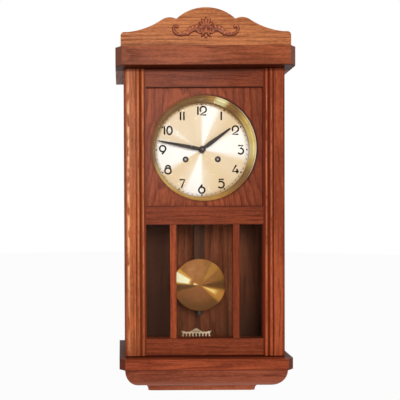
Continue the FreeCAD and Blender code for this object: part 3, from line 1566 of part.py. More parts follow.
# Check every object, then write one file for each piece.
document.recompute()
for thing in document.Objects:
    if "Invalid" in thing.State or "Error" in thing.State:
        raise RuntimeError("%s failed: %s" % (thing.Label, thing.State))
os.makedirs("parts", exist_ok=True)
for node, piece in pieces.items():
    if piece.Shape.isNull() or not piece.Shape.isValid():
        raise RuntimeError("%s has no valid shape" % node)
for node, piece in pieces.items():
    piece.Shape.exportStep("parts/%s.step" % node)
print("pieces", len(pieces))
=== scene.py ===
import json
import math

import bmesh
import bpy
from mathutils import Matrix, Vector


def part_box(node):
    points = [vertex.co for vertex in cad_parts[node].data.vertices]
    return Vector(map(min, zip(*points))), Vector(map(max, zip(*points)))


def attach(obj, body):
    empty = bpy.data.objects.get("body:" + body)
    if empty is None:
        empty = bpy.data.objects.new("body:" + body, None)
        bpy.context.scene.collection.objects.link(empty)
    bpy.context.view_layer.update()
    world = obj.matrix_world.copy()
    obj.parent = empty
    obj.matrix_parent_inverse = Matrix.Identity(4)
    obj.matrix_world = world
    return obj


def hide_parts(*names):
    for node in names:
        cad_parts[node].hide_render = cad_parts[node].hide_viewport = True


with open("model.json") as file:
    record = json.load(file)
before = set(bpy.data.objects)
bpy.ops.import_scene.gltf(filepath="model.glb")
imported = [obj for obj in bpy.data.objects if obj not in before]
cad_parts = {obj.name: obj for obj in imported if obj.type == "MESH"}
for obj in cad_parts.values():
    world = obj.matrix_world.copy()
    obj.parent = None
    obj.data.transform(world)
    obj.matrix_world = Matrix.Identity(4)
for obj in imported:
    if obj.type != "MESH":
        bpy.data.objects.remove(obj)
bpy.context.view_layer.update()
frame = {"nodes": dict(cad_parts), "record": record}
nodes = frame["nodes"]


# Carcass of the case: two sides, a back board between them, a top board and a floor.
# Oak boards, planed, stained red brown and polished, glued and pinned together.
# The back and the floor are left dull. The back carries painted shade on its outer boards and a painted
# shadow of the rod, and it is darker towards the bottom.
def math_node(operation):
    """A method of links that adds a Math node, with the link itself as its first term."""
    return lambda link, *terms: link.sum(operation, link, *terms)


class Link:
    """One socket of a finish. Sums written on links add Math nodes to that finish."""

    def __init__(self, finish, socket):
        self.finish = finish
        self.socket = socket

    def sum(self, operation, *terms):
        return self.finish.node("ShaderNodeMath", {"operation": operation}, dict(enumerate(terms)))

    def capped(self, limit=1.0):
        return self.sum("MINIMUM", self, limit)

    def __rsub__(self, other):
        return self.sum("SUBTRACT", other, self)

    wave = math_node("SINE")
    fraction = math_node("FRACT")
    raised = math_node("MAXIMUM")
    __abs__ = math_node("ABSOLUTE")
    __add__ = __radd__ = math_node("ADD")
    __sub__ = math_node("SUBTRACT")
    __mul__ = __rmul__ = math_node("MULTIPLY")
    __truediv__ = math_node("DIVIDE")
    __pow__ = math_node("POWER")


class Finish:
    """A surface finish: one material, its nodes and the Object coordinates that they read."""

    def __init__(self, name, kind="Material"):
        self.kind = kind
        self.material = bpy.data.materials.new(name) if kind == "Material" else bpy.data.worlds.new(name)
        self.material.use_nodes = True
        self.tree = self.material.node_tree
        self.tree.nodes.clear()
        self.place = self.node("ShaderNodeTexCoord", output="Object")

    def node(self, kind, settings=None, inputs=None, output=0):
        made = self.tree.nodes.new(kind)
        for setting, value in (settings or {}).items():
            setattr(made, setting, value)
        for key, value in (inputs or {}).items():
            if isinstance(value, Link):
                self.tree.links.new(value.socket, made.inputs[key])
            else:
                made.inputs[key].default_value = value
        return Link(self, made.outputs[output])

    def axes(self):
        split = self.node("ShaderNodeSeparateXYZ", inputs={0: self.place}).socket.node
        return [Link(self, socket) for socket in split.outputs]

    def noise(self, stretch, shift=(0, 0, 0), detail=2.0):
        """Noise of one scale, or with a scale of its own along each axis, in features per metre."""
        scales = stretch if isinstance(stretch, tuple) else (stretch, stretch, stretch)
        place = self.node("ShaderNodeMapping", inputs={
            "Vector": self.place, "Location": shift, "Scale": scales})
        return self.node("ShaderNodeTexNoise", inputs={"Vector": place, "Scale": 1.0, "Detail": detail})

    def blend(self, share, first, second):
        return self.node("ShaderNodeMix", {"data_type": "RGBA"}, {0: share, 6: first, 7: second}, output=2)

    def step(self, value, low, high):
        """0 at low, 1 at high, and a smooth change between. Low may be the greater of the two."""
        return self.node("ShaderNodeMapRange", {"interpolation_type": "SMOOTHSTEP"}, {
            "Value": value, "From Min": low, "From Max": high})

    def bump(self, height, strength, distance):
        return self.node("ShaderNodeBump", inputs={
            "Height": height, "Strength": strength, "Distance": distance})

    def facing(self, axis):
        """How far the surface turns towards the plus end of an axis, from -1 to 1."""
        normal = self.node("ShaderNodeTexCoord", output="Normal")
        return self.node("ShaderNodeSeparateXYZ", inputs={0: normal}, output=axis)

    def surface(self, **inputs):
        sockets = [name.replace("_", " ").title().replace("Ior", "IOR") for name in inputs]
        return self.shown(self.node("ShaderNodeBsdfPrincipled", inputs=dict(zip(sockets, inputs.values()))))

    def shown(self, shader):
        """Lead a shader to the output, and hand over the finished material."""
        output = self.tree.nodes.new("ShaderNodeOutput" + self.kind)
        self.tree.links.new(shader.socket, output.inputs["Surface"])
        return self.material


def colour(red, green, blue):
    """A colour as the eye reads it on a screen, 0 to 255, turned into light."""
    return tuple((part / 255 / 12.92) if part < 10.3 else ((part / 255 + 0.055) / 1.055) ** 2.4
                 for part in (red, green, blue)) + (1.0,)


def dress(node, material):
    """Give a CAD piece its finish."""
    nodes[node].data.materials.clear()
    nodes[node].data.materials.append(material)


def edge_nearness(finish, node, width):
    """1 on the arrises of a board and 0 further than a width from them."""
    low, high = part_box(node)
    gaps = [(along - start).capped(end - along) for along, start, end in zip(finish.axes(), low, high)]
    widest = gaps[0].raised(gaps[1]).raised(gaps[2])
    second = gaps[0] + gaps[1] + gaps[2] - widest
    return finish.step(second, width, 0.0)


OAK_DARK = (0.66, 0.60, 0.56)
OAK_LIGHT = (1.34, 1.42, 1.46)
OAK_RING = (0.42, 0.33, 0.29)
OAK_PORE = (0.30, 0.22, 0.20)
# Tint of painted shade: in sunk parts, along joints and on the ledge against the door.
OAK_SHADE = (0.24, 0.18, 0.17)
# Tint of end grain, darker and greyer, which is painted shade too where it forms side faces.
OAK_END_GRAIN_AND_SHADE = (0.24, 0.36, 0.58)
# Pale tint of worn edges, and of the painted highlights on the carving's ridges.
OAK_RUBBED_AND_LIT = (1.75, 1.95, 2.05)
OAK_EDGE = 0.0030
OAK_SEAM = (0.0026, 0.0004)
GROOVE_START, GROOVE_END = (0.0006, 0.0022), (0.004, 0.007)
ALONG_X, ALONG_Y, ALONG_Z = range(3)
ACROSS = {ALONG_X: 2, ALONG_Y: 2, ALONG_Z: 0}


def shaded(base, factors):
    """A colour whose red, green and blue are each made darker or lighter."""
    return tuple(min(1.0, part * factor) for part, factor in zip(base, factors)) + (1.0,)


def stained_oak(node, grain, base, seed, heart=0.0, behind=0.31, taper=0.0, ring=0.008, lines=0.3,
                wild=1.0, mottle=1.0, dashes=0.5, gloss=0.46, coat=0.03, rub=0.35, grime=0.0,
                seams="", stain=None, end_shade=OAK_END_GRAIN_AND_SHADE):
    """Stained oak, sawn from a log whose heart lies beside the board's middle and behind its front face.

    The rings that the face cuts are a ring apart, and taper leans them along the grain into arches.
    Lines is how dark the rings are, wild how far they wander, mottle how cloudy the staining is, dashes how
    open the pores are, rub how worn the edges are, and the sunk share how much painted shade darkens the
    sunk parts of the front. Seams names the ends, such as "-z", that lie against another board and get a
    painted dark line of shade. A mark function, if given, adds painted light and shade of the board's own,
    and end_shade colours its end grain, whose darkening also stands as painted shade on side faces.
    """
    finish = Finish("oak_" + node)
    low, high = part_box(node)
    axes = finish.axes()
    x, y, z = axes
    place = [along - (start + end) / 2 for along, start, end in zip(axes, low, high)]
    across = ACROSS[grain]
    shift = (seed * 3.17, seed * 5.71, seed * 7.93)

    def grained(along, over, detail=1.0):
        stretch = tuple(along if axis == grain else over for axis in range(3))
        return finish.noise(stretch, shift, detail)

    wander = grained(2.6, 10.0) - 0.5
    ripple = grained(13.0, 75.0) - 0.5
    cloud = grained(7.0, 22.0, 3.0)
    fibre = grained(9.0, 250.0, 2.0)
    fleck = grained(130.0, 330.0, 2.0)
    dash = finish.step(grained(22.0, 470.0), 0.52, 0.64)
    pore = finish.step(grained(40.0, 1250.0), 0.54, 0.70)
    sideways = place[across] - heart
    deep = 3 - grain - across
    inwards = axes[deep] - (low[deep] + behind)
    distance = (sideways * sideways + inwards * inwards) ** 0.5
    growth = (distance + place[grain] * taper + wander * (0.045 * wild) + ripple * (0.007 * wild)) / ring
    season = growth.fraction()
    early = finish.step(season, 0.50, 0.04) + finish.step(season, 0.92, 1.0)
    open_pore = (dash * dashes + pore * 0.35) * (early * 0.5 + 0.5)
    tone = (cloud - 0.5) * (1.5 * mottle) + (fibre - 0.5) * 0.9 + (fleck - 0.5) * 0.9 + season * 0.20 + 0.40
    body = finish.blend(finish.step(tone, 0.0, 1.0), shaded(base, OAK_DARK), shaded(base, OAK_LIGHT))
    body = finish.blend(early * finish.step(cloud + wander, 0.25, 0.75) * lines, body, shaded(base, OAK_RING))
    body = finish.blend(open_pore, body, shaded(base, OAK_PORE))
    worn = edge_nearness(finish, node, OAK_EDGE) * finish.step(cloud + fibre, 0.85, 1.25)
    body = finish.blend(worn * rub, body, shaded(base, OAK_RUBBED_AND_LIT))
    # Painted shade in the sunk parts of the front, such as the grooves of the reeds.
    depth = y - low[1]
    sunk = finish.step(depth, *GROOVE_START) - finish.step(depth, *GROOVE_END)
    body = finish.blend(sunk * grime, body, shaded(base, OAK_SHADE))
    # Painted shade: a dark line along each end that meets another board.
    for seam in seams.split():
        axis = "xyz".index(seam[1])
        gap = axes[axis] - low[axis] if seam[0] == "-" else high[axis] - axes[axis]
        body = finish.blend(finish.step(gap, *OAK_SEAM) * 0.75, body, shaded(base, OAK_SHADE))
    # End grain soaks up more staining; where it forms the side faces of level boards, it is painted shade
    # too.
    end_grain = finish.step(abs(finish.facing(grain)), 0.35, 0.75)
    body = finish.blend(end_grain * 0.75, body, shaded(base, end_shade))
    # Painted light and shade of the board's own.
    if stain is not None:
        body = stain(finish, body, base, x, y, z)
    return finish.surface(
        base_color=body, roughness=open_pore * 0.22 + cloud * 0.12 + (gloss - 0.06),
        normal=finish.bump(fibre * 0.35 - open_pore * 0.65, 0.35, 0.0005),
        specular_ior_level=0.06, coat_weight=coat, coat_roughness=0.16)


def board(node, grain, base, seed, slot="oak", **look):
    """Give a CAD board a stained oak of its own."""
    dress(node, stained_oak(node, grain, base, seed, **look))


CASE_OAK = colour(132, 70, 44)
INSIDE_OAK = colour(138, 76, 47)
MIDDLE_BOARD = (-0.054, 0.084)
BACK_JOINT, JOINT_HALF, STAIN_BLUR = 0.0682, 0.003, 0.004
# Where the back grows darker towards the bottom, and the sides of the rod's painted shadow.
DARKER_LOW = (-0.26, -0.40)
ROD_SHADOW_LEFT, ROD_SHADOW_RIGHT = (-0.006, 0.0), (0.014, 0.008)
BACK_SHADE = (0.25, 0.33, 0.43)


def smoked_edges(finish, body, base, x, y, z):
    """The back is three boards: the outer two carry painted shade, and a dark line marks a joint.

    It is darker towards the bottom, most of all in a painted shadow of the rod below the bob.
    """
    left, right = MIDDLE_BOARD
    # Painted shade on the two outer boards, heavier on the left.
    outer_left = finish.step(x, left + STAIN_BLUR, left - STAIN_BLUR)
    outer_right = finish.step(x, right - STAIN_BLUR, right + STAIN_BLUR)
    outer = outer_left * 1.2 + outer_right * 0.75
    joint = finish.step(abs(x - BACK_JOINT), JOINT_HALF, 0.0)
    # Darker towards the bottom, and a painted shadow of the rod below the bob.
    low = finish.step(z, *DARKER_LOW)
    rod_shadow = finish.step(x, *ROD_SHADOW_LEFT) * finish.step(x, *ROD_SHADOW_RIGHT) * low
    dark = (outer * 0.75 + joint * 0.5 + low * 0.40 + rod_shadow * 0.4).capped()
    return finish.blend(dark, body, shaded(base, BACK_SHADE))


for number, node in enumerate(("left_side", "right_side")):
    board(node, ALONG_Z, CASE_OAK, 1 + number)
board("back_board", ALONG_Z, INSIDE_OAK, 3, heart=0.22, ring=0.012, lines=0.5, coat=0.0, gloss=0.55, rub=0.0,
      stain=smoked_edges)
board("top_board", ALONG_X, CASE_OAK, 4)
board("bottom_board", ALONG_X, INSIDE_OAK, 5, coat=0.0, gloss=0.55, rub=0.0)

# Cornice: a thick moulding with canted front corners, and a return along each side of the case.
# Darker stained oak, mitred and glued round the top of the carcass.
# Its front was sawn through the middle of a plank, so the rings run out in long arches.
CORNICE_OAK = colour(142, 72, 42)
# Painted light on the side faces: the cornice's end faces are tinted darker and greyer, and its returns paler
# and greyer, as painted shade and a painted reflection of the pale room.
CORNICE_END_REFLECTION = (0.55, 1.0, 2.0)
RETURN_REFLECTED_OAK = colour(160, 110, 96)
CORNICE_UNDERSIDE_SHADE = (0.20, 0.13, 0.12)
cornice_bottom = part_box("cornice_front")[0][2]


def stain_along(axis, start, full, share, shade):
    """A band of painted light that sets in at one place along an axis and has its full share from another on.
    """
    def mark(finish, body, base, *axes):
        return finish.blend(finish.step(axes[axis], start, full) * share, body, shaded(base, shade))
    return mark


# Painted shade: the underside is darkened nearly to black, as if in deep shadow.
painted_underside_shade = stain_along(ALONG_Z, cornice_bottom + 0.0014, cornice_bottom + 0.0002, 0.80, CORNICE_UNDERSIDE_SHADE)
board("cornice_front", ALONG_X, CORNICE_OAK, 6, heart=-0.004, behind=0.03, taper=0.10, ring=0.011, lines=0.40,
      seams="-z", stain=painted_underside_shade, end_shade=CORNICE_END_REFLECTION)
board("cornice_returns", ALONG_Y, RETURN_REFLECTED_OAK, 7)

# Crest board: a straight-grained oak board, shaped on the band saw and stood on the cornice.
# It has faded lighter than the case, and its pores show as short dark dashes.
CREST_OAK = colour(174, 105, 64)
board("crest_board", ALONG_X, CREST_OAK, 8, heart=-0.25, ring=0.0045, lines=0.22, wild=0.25, mottle=0.6,
      dashes=0.6, seams="-z")

# Carved ornament: a shell of ridges over a pointed drop, with a curled leaf spray to each side.
# Carved in one piece of oak and glued to the crest, with painted shade in the hollows and on the lower
# edges, and painted highlights on the ridges.
LEAF_UNIT = 0.00188
CARVING_MIDDLE = 0.2222
SKIN_GRAIN = 0.00045
CARVED_OAK = colour(150, 82, 54)
CARVED_SHADE = (0.30, 0.22, 0.22)
(_, carving_front, _), (_, carving_ground, _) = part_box("crest_carving")
carving_relief = carving_ground - carving_front


def lobe(made, middle, length, width, lean, height):
    """One rounded form of the carving. Its long axis leans clockwise from upright, in degrees.

    Places and sizes are in leaf units from the middle of the shell, and height is a share of the relief.
    """
    x, z = middle
    place = Matrix.Translation((x * LEAF_UNIT, carving_ground, CARVING_MIDDLE + z * LEAF_UNIT))
    size = Matrix.Diagonal((width * LEAF_UNIT, height * carving_relief, length * LEAF_UNIT, 1))
    bmesh.ops.create_icosphere(made, subdivisions=3, radius=1.0,
                               matrix=place @ Matrix.Rotation(math.radians(lean), 4, "Y") @ size)


def stem(made, points, thick, thin, height):
    """A row of forms that run into each other along a line and get thinner."""
    runs = list(zip(points, points[1:]))
    for number, ((x, z), (next_x, next_z)) in enumerate(runs):
        for step in range(4):
            share = (number + step / 4) / len(runs)
            width = thick + (thin - thick) * share
            lobe(made, (x + (next_x - x) * step / 4, z + (next_z - z) * step / 4), width, width, 0, height)


def in_scene(name, data):
    """Put a new object in the scene, with its mesh, curve, lamp or camera."""
    made = bpy.data.objects.new(name, data)
    bpy.context.scene.collection.objects.link(made)
    return made


def piece_from(work, name, *materials):
    """Make an object of a finished bmesh, and let the bmesh go."""
    data = bpy.data.meshes.new(name)
    work.to_mesh(data)
    work.free()
    for material in materials:
        data.materials.append(material)
    return in_scene(name, data)


def settled(shape):
    """A bmesh of what an object's modifiers or its curve make. The object itself is removed."""
    mesh = bpy.data.meshes.new_from_object(shape.evaluated_get(bpy.context.evaluated_depsgraph_get()))
    bpy.data.objects.remove(shape)
    work = bmesh.new()
    work.from_mesh(mesh)
    bpy.data.meshes.remove(mesh)
    return work


SHELL_RIDGES = ((0, 12.0), (24, 11.0), (-24, 11.0), (48, 10.0), (-48, 10.0), (74, 8.4), (-74, 8.4))
SPRAY = ((7, -2.4), (10, -1.2), (13, -2.0), (16, -4.2), (20, -6.2), (24.5, -7.0), (28.5, -6.4), (31.4, -4.0),
         (32.4, -0.8), (31.4, 1.6), (29.4, 2.2), (28.2, 0.8))
SPRAY_LOBES = (((9.4, 0.8), 3.6, 1.7, -30), ((13.2, -0.2), 3.6, 1.9, -38), ((16.6, -2.2), 4.4, 2.0, -30),
               ((18.6, -5.6), 3.0, 1.9, 30), ((21.6, -5.0), 3.2, 1.8, -50), ((25.4, -6.4), 2.4, 1.6, -70))
SHELL_BODY = (((0, 1.6), 7.2, 7.0, 0, 0.46), ((0, -3.2), 6.0, 6.4, 0, 0.36),
              ((0, -2.4), 4.4, 1.4, 0, 0.98), ((0, -8.2), 2.6, 1.7, 0, 0.98))
CURL_X, CURL_Z = 6.0, -2.8
carved = bmesh.new()
for lean, length in SHELL_RIDGES:
    turn = math.radians(lean)
    middle = (math.sin(turn) * length * 0.55, math.cos(turn) * length * 0.55 - 0.8)
    lobe(carved, middle, length * 0.45, 1.35, lean, 0.90 if lean else 0.98)
for form in SHELL_BODY:
    lobe(carved, *form)
for side in (-1, 1):
    lobe(carved, (side * 2.6, -5.6), 4.6, 1.4, -side * 24, 0.80)
    curl = [(side * CURL_X + 2.2 * math.cos(turn), CURL_Z + 2.6 * math.sin(turn))
            for turn in [math.tau * step / 10 for step in range(11)]]
    stem(carved, curl, 1.2, 1.0, 0.80)
    lobe(carved, (side * CURL_X, CURL_Z), 1.0, 1.0, 0, 0.86)
    lobe(carved, (side * 9.0, -1.4), 3.6, 4.4, 0, 0.40)
    stem(carved, [(side * x, z) for x, z in SPRAY], 2.5, 1.35, 0.72)
    lobe(carved, (side * 28.9, 0.8), 1.6, 1.6, 0, 0.84)
    for (x, z), length, width, lean in SPRAY_LOBES:
        lobe(carved, (side * x, z), length, width, side * lean, 0.96)
blank = piece_from(carved, "blocked_carving")
skin = blank.modifiers.new("one_skin", "REMESH")
skin.mode = "VOXEL"
skin.voxel_size = SKIN_GRAIN
carved = settled(blank)
for _ in range(2):
    bmesh.ops.smooth_vert(carved, verts=carved.verts, factor=0.5,
                          use_axis_x=True, use_axis_y=True, use_axis_z=True)
cut = bmesh.ops.bisect_plane(carved, geom=carved.verts[:] + carved.edges[:] + carved.faces[:], dist=1e-6,
                             plane_co=(0, carving_ground, 0), plane_no=(0, 1, 0), clear_outer=True)
bmesh.ops.holes_fill(carved, edges=[edge for edge in cut["geom_cut"] if isinstance(edge, bmesh.types.BMEdge)])
bmesh.ops.recalc_face_normals(carved, faces=carved.faces)
for face in carved.faces:
    face.smooth = True


def carved_oak():
    """Oak with painted shade in the hollows and under the lower edges, and painted highlights on the ridges.
    """
    finish = Finish("carved_oak")
    x, y, z = finish.axes()
    fibre = finish.noise((14.0, 260.0, 260.0), (4.1, 2.3, 8.8))
    cloud = finish.noise(60.0)
    height = (carving_ground - y) / carving_relief
    upward = finish.facing(ALONG_Z)
    # Painted shade in the hollows, and painted shadow on the faces that turn downwards.
    hollow = finish.step(height + (cloud - 0.5) * 0.2, 0.86, 0.30)
    under = finish.step(upward + (cloud - 0.5) * 0.3, -0.10, -0.62)
    dark = (hollow * 0.66 + under * 0.55).capped()
    # Painted highlight on the ridges.
    ridge = finish.step(height + (fibre - 0.5) * 0.35 + upward * 0.2, 0.70, 0.98)
    body = finish.blend(finish.step(fibre, 0.3, 0.7), shaded(CARVED_OAK, OAK_DARK),
                        shaded(CARVED_OAK, OAK_LIGHT))
    body = finish.blend(ridge * 0.85, body, shaded(CARVED_OAK, OAK_RUBBED_AND_LIT))
    body = finish.blend(dark * 0.9, body, shaded(CARVED_OAK, CARVED_SHADE))
    return finish.surface(
        base_color=body, roughness=hollow * 0.2 + fibre * 0.1 + 0.36, normal=finish.bump(fibre, 0.3, 0.0004),
        specular_ior_level=0.10, coat_weight=0.06, coat_roughness=0.16)


carving = piece_from(carved, "carved_spray", carved_oak())
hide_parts("crest_carving")
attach(carving, "case")

# Base: a ledge with canted corners, a quarter-round moulding under it and a stepped foot.
# Oak, worked in the solid and glued under the floor of the case.
# The ledge shows the strongest figure of the clock, in long leaning arches.
LEDGE_OAK = colour(146, 66, 38)
MOULDING_OAK = colour(138, 70, 48)
# Tint of the painted reflection on the turned-under part of the moulding.
MOULDING_REFLECTION = (1.9, 2.4, 2.9)
FOOT_OAK = colour(168, 90, 62)
LEDGE_SHADE = -0.158
MOULDING_IN, MOULDING_DROP = 0.034, 0.0045
FOOT_FLARE, FOOT_FORWARD = 0.0095, 0.002
FOOT_BAND, FOOT_COVE, COVE_HEIGHT = 0.0125, 0.0105, 0.0140
FOOT_TOE = ((0.0035, 0.0010), (0.0060, 0.0))
SHARP_EDGE = math.radians(25)
ledge_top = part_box("base_ledge")[1][2]
(_, moulding_front, moulding_foot), (moulding_half, _, moulding_top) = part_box("base_moulding")
(_, foot_front, foot_low), (foot_half, _, foot_top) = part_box("base_foot")


def waxed_back(finish, body, base, x, y, z):
    """Painted shadow on the top of the ledge, back against the foot of the door."""
    top = finish.step(z, ledge_top - 0.0026, ledge_top - 0.0004)
    back = finish.step(y, LEDGE_SHADE, LEDGE_SHADE + 0.003)
    return finish.blend(top * back * 0.9, body, shaded(base, OAK_SHADE))


def soft_edges(work):
    """Shade a bmesh smooth and leave its sharp edges sharp."""
    for face in work.faces:
        face.smooth = True
    for edge in work.edges:
        edge.smooth = edge.calc_face_angle(0.0) < SHARP_EDGE


def mitred(name, profile, half_wide, depth, material):
    """A run of moulding round the front and both ends. The profile gives how far in each height lies."""
    made = bmesh.new()
    courses = []
    for inset, height in profile:
        wide, deep = half_wide - inset, depth - inset
        corners = [made.verts.new(place) for place in (
            (-wide, 0.0, height), (-wide, -deep, height), (wide, -deep, height), (wide, 0.0, height))]
        courses.append([made.edges.new((corners[step], corners[(step + 1) % 4])) for step in range(4)])
    for upper, lower in zip(courses, courses[1:]):
        bmesh.ops.bridge_loops(made, edges=upper + lower)
    bmesh.ops.holes_fill(made, edges=courses[0] + courses[-1])
    bmesh.ops.recalc_face_normals(made, faces=made.faces)
    soft_edges(made)
    piece = piece_from(made, name, material)
    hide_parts(name.replace("shaped", "base"))
    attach(piece, "case")


board("base_ledge", ALONG_X, LEDGE_OAK, 10, heart=0.001, behind=0.012, taper=0.030, ring=0.0042, lines=0.85,
      wild=0.16, seams="-z", stain=waxed_back)
quarter = [math.radians(7.5 * step) for step in range(13)]
moulding_fall = moulding_top - moulding_foot + MOULDING_DROP
moulding_profile = [(MOULDING_IN * (1 - math.cos(turn)), moulding_top - moulding_fall * math.sin(turn))
                    for turn in quarter]
# Painted reflection: the turned-under part of the moulding is made paler, as if it reflected the pale floor.
painted_floor_reflection = stain_along(ALONG_Z, moulding_foot + 0.014, moulding_foot + 0.001, 0.45, MOULDING_REFLECTION)
mitred("shaped_moulding", moulding_profile, moulding_half, -moulding_front,
       stained_oak("base_moulding", ALONG_X, MOULDING_OAK, 11, lines=0.15, stain=painted_floor_reflection))
foot_profile = [(0.0, foot_top)]
foot_profile += [(FOOT_COVE * math.sin(turn), foot_top - FOOT_BAND - COVE_HEIGHT * (1 - math.cos(turn)))
                 for turn in quarter]
foot_profile += [(FOOT_COVE + inset, foot_low + height) for inset, height in FOOT_TOE]
mitred("shaped_foot", foot_profile, foot_half + FOOT_FLARE, -foot_front + FOOT_FORWARD,
       stained_oak("base_foot", ALONG_X, FOOT_OAK, 12, lines=0.15))

# Door: two reeded stiles tenoned to three rails, two glazing bars and the beads behind the glass.
# Orange-brown polished oak, with the grain along each piece and painted shade in the grooves of the reeds.
# The rounded outer edge of the left stile, where the door is opened, and the crests of the reeds carry
# painted highlights in broken streaks.
# The stiles are one oak, painted lighter on the left and darker on the right, as the light falls from the
# left.
LIT_LEFT_STILE_OAK = colour(166, 88, 50)
SHADED_RIGHT_STILE_OAK = colour(152, 70, 38)
BAR_OAK = colour(148, 66, 35)
RAIL_OAK = colour(128, 58, 31)
RAIL_SHADES = {"top_rail": (0.84, 0.84, 0.84), "middle_rail": (0.84, 0.78, 0.70),
               "bottom_rail": (0.98, 0.94, 0.96)}
# Tints of the painted highlights, the painted shade in the reeds, the painted shadow at the door's top and
# the painted shade to the right; then highlight lines (place, half width, strength) and shade bands.
HIGHLIGHT_TINT = colour(236, 174, 126)
REED_SHADE = (0.42, 0.26, 0.24)
DOOR_TOP_SHADOW = (0.22, 0.15, 0.13)
RIGHT_SHADE = (0.36, 0.30, 0.28)
HIGHLIGHT_LINES = {"left_stile": ((-0.1462, 0.0036, 0.95), (-0.1274, 0.0011, 0.32), (-0.1180, 0.0011, 0.36)),
                "right_stile": ((0.1186, 0.0011, 0.3), (0.1278, 0.0011, 0.3))}
SHADE_BANDS = ((0.1120, 0.1168, 0.85), (0.1192, 0.1262, 0.80), (0.1310, 0.1332, 0.60), (0.1490, 0.1600, 0.50))
BAND_BLUR = 0.0016
HIGHLIGHT_LOW, HIGHLIGHT_HIGH = (-0.33, -0.20), (0.15, 0.05)
# Painted shadow: the top of the door is darkened as if in the cornice's shade.
door_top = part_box("left_stile")[1][2]
painted_cornice_shadow = stain_along(ALONG_Z, door_top - 0.0070, door_top - 0.0030, 0.65, DOOR_TOP_SHADOW)


def handled(node):
    """Painted highlights in broken streaks, and painted shade between the reeds and at the door's top."""
    def mark(finish, body, base, x, y, z):
        patch = finish.noise((90.0, 90.0, 46.0), (2.0, 7.0, 1.0), detail=3.0)
        wide = abs(x)
        for start, end, share in SHADE_BANDS:
            band = finish.step(wide, start, start + BAND_BLUR) - finish.step(wide, end - BAND_BLUR, end)
            body = finish.blend(band * share, body, shaded(base, REED_SHADE))
        # The painted highlights are strongest at middle height and broken along each line.
        highlight_reach = finish.step(z, *HIGHLIGHT_LOW) * finish.step(z, *HIGHLIGHT_HIGH)
        broken = finish.step(patch, 0.36, 0.54) * (highlight_reach * 0.7 + 0.3)
        for place, half, share in HIGHLIGHT_LINES[node]:
            line = finish.step(abs(x - place), half, 0.0)
            body = finish.blend(line * broken * share, body, HIGHLIGHT_TINT)
        return painted_cornice_shadow(finish, body, base, x, y, z)
    return mark


for number, (node, base) in enumerate((("left_stile", LIT_LEFT_STILE_OAK), ("right_stile", SHADED_RIGHT_STILE_OAK))):
    board(node, ALONG_Z, base, 20 + number, heart=0.3, lines=0.15, grime=0.95, stain=handled(node))
# Painted shade: the glazing bars and beads grow darker to the right, as the light falls from the left.
painted_shade_right = stain_along(ALONG_X, -0.01, 0.01, 0.45, RIGHT_SHADE)
for number, node in enumerate(("glazing_bars", "glass_beads")):
    board(node, ALONG_Z, BAR_OAK, 22 + number, heart=0.3, lines=0.15, mottle=0.7, grime=0.5,
          stain=painted_shade_right)
for number, (node, shade) in enumerate(RAIL_SHADES.items()):
    board(node, ALONG_X, shaded(RAIL_OAK, shade), 30 + number, heart=0.3, lines=0.18, seams="+z -z",
          grime=0.5, stain=painted_cornice_shadow)

# Dial panel: one wide board behind the bezel, sawn through near the heart of the log.
# Its rings draw tall arches up the face and close in towards both edges.
# Oak, laid from behind in the rebate of the rails and stiles.
PANEL_OAK = colour(134, 62, 34)
# Painted shadow round the bezel: where it lies, heaviest towards the right, and its tint.
BEZEL_SHADOW_REACH = (0.1068, 0.1026)
BEZEL_SHADOW_FAN = ((72, 62, 40, 0.6),)
BEZEL_SHADOW_TINT = (0.14, 0.10, 0.10)


def fan(finish, across, up, wedges):
    """Wedges about a centre. Each row gives a clock angle, half width, softness and strength."""
    reach = (across * across + up * up) ** 0.5 + 0.0001
    total = 0.0
    for angle, half, soft, strength in wedges:
        turn = math.radians(angle)
        facing = (across * math.sin(turn) + up * math.cos(turn)) / reach
        inner = math.cos(math.radians(max(half - soft, 0.0)))
        total = finish.step(facing, math.cos(math.radians(half + soft)), inner) * strength + total
    return total


def ringed(finish, body, base, x, y, z):
    """Painted shade to the right, and a painted shadow in a thin ring round the bezel, heaviest on its right.
    """
    body = stain_along(ALONG_X, 0.02, 0.13, 0.40, RIGHT_SHADE)(finish, body, base, x, y, z)
    reach = (x * x + z * z) ** 0.5
    ring = finish.step(reach, *BEZEL_SHADOW_REACH)
    return finish.blend(ring * (fan(finish, x, z, BEZEL_SHADOW_FAN) + 0.35).capped(), body, shaded(base, BEZEL_SHADOW_TINT))


board("dial_panel", ALONG_Z, PANEL_OAK, 40, heart=-0.05, behind=0.06, taper=0.16, ring=0.0115, lines=0.55,
      wild=1.5, seams="+z -z", stain=ringed)


# Movement, trains and fittings of brass: plates, pillars, wheels, barrels, arbors, hinges and catch.
# Cast and rolled brass, turned or filed, with fine straight file marks and a thin yellow-brown tarnish.
def satin_metal(name, tint, tarnish, roughness, scratch=(900.0, 60.0, 900.0), metallic=0.0):
    """Worked metal: fine file marks and clouded tarnish. Where it is dulled or blacked, it isn't metallic."""
    finish = Finish(name)
    tint, tarnish = colour(*tint), colour(*tarnish)
    marks = finish.noise(scratch)
    cloud = finish.noise(38.0, detail=3.0)
    speck = finish.step(finish.noise(420.0, detail=1.0), 0.62, 0.75)
    body = finish.blend(finish.step(cloud, 0.40, 0.70), tint, tarnish)
    body = finish.blend(speck * 0.35, body, tarnish)
    return finish.surface(
        base_color=body, metallic=metallic, roughness=marks * 0.18 + cloud * 0.12 + (roughness - 0.15),
        normal=finish.bump(marks, 0.25, 0.0002))


def dress_all(slot, material):
    """Give every CAD piece of one material slot the same finish."""
    for row in frame["record"]["subparts"]:
        if row["material_slot"] == slot:
            dress(row["node"], material)


dress_all("brass", satin_metal("worked_brass", (196, 160, 86), (138, 100, 48), 0.34, metallic=1.0))

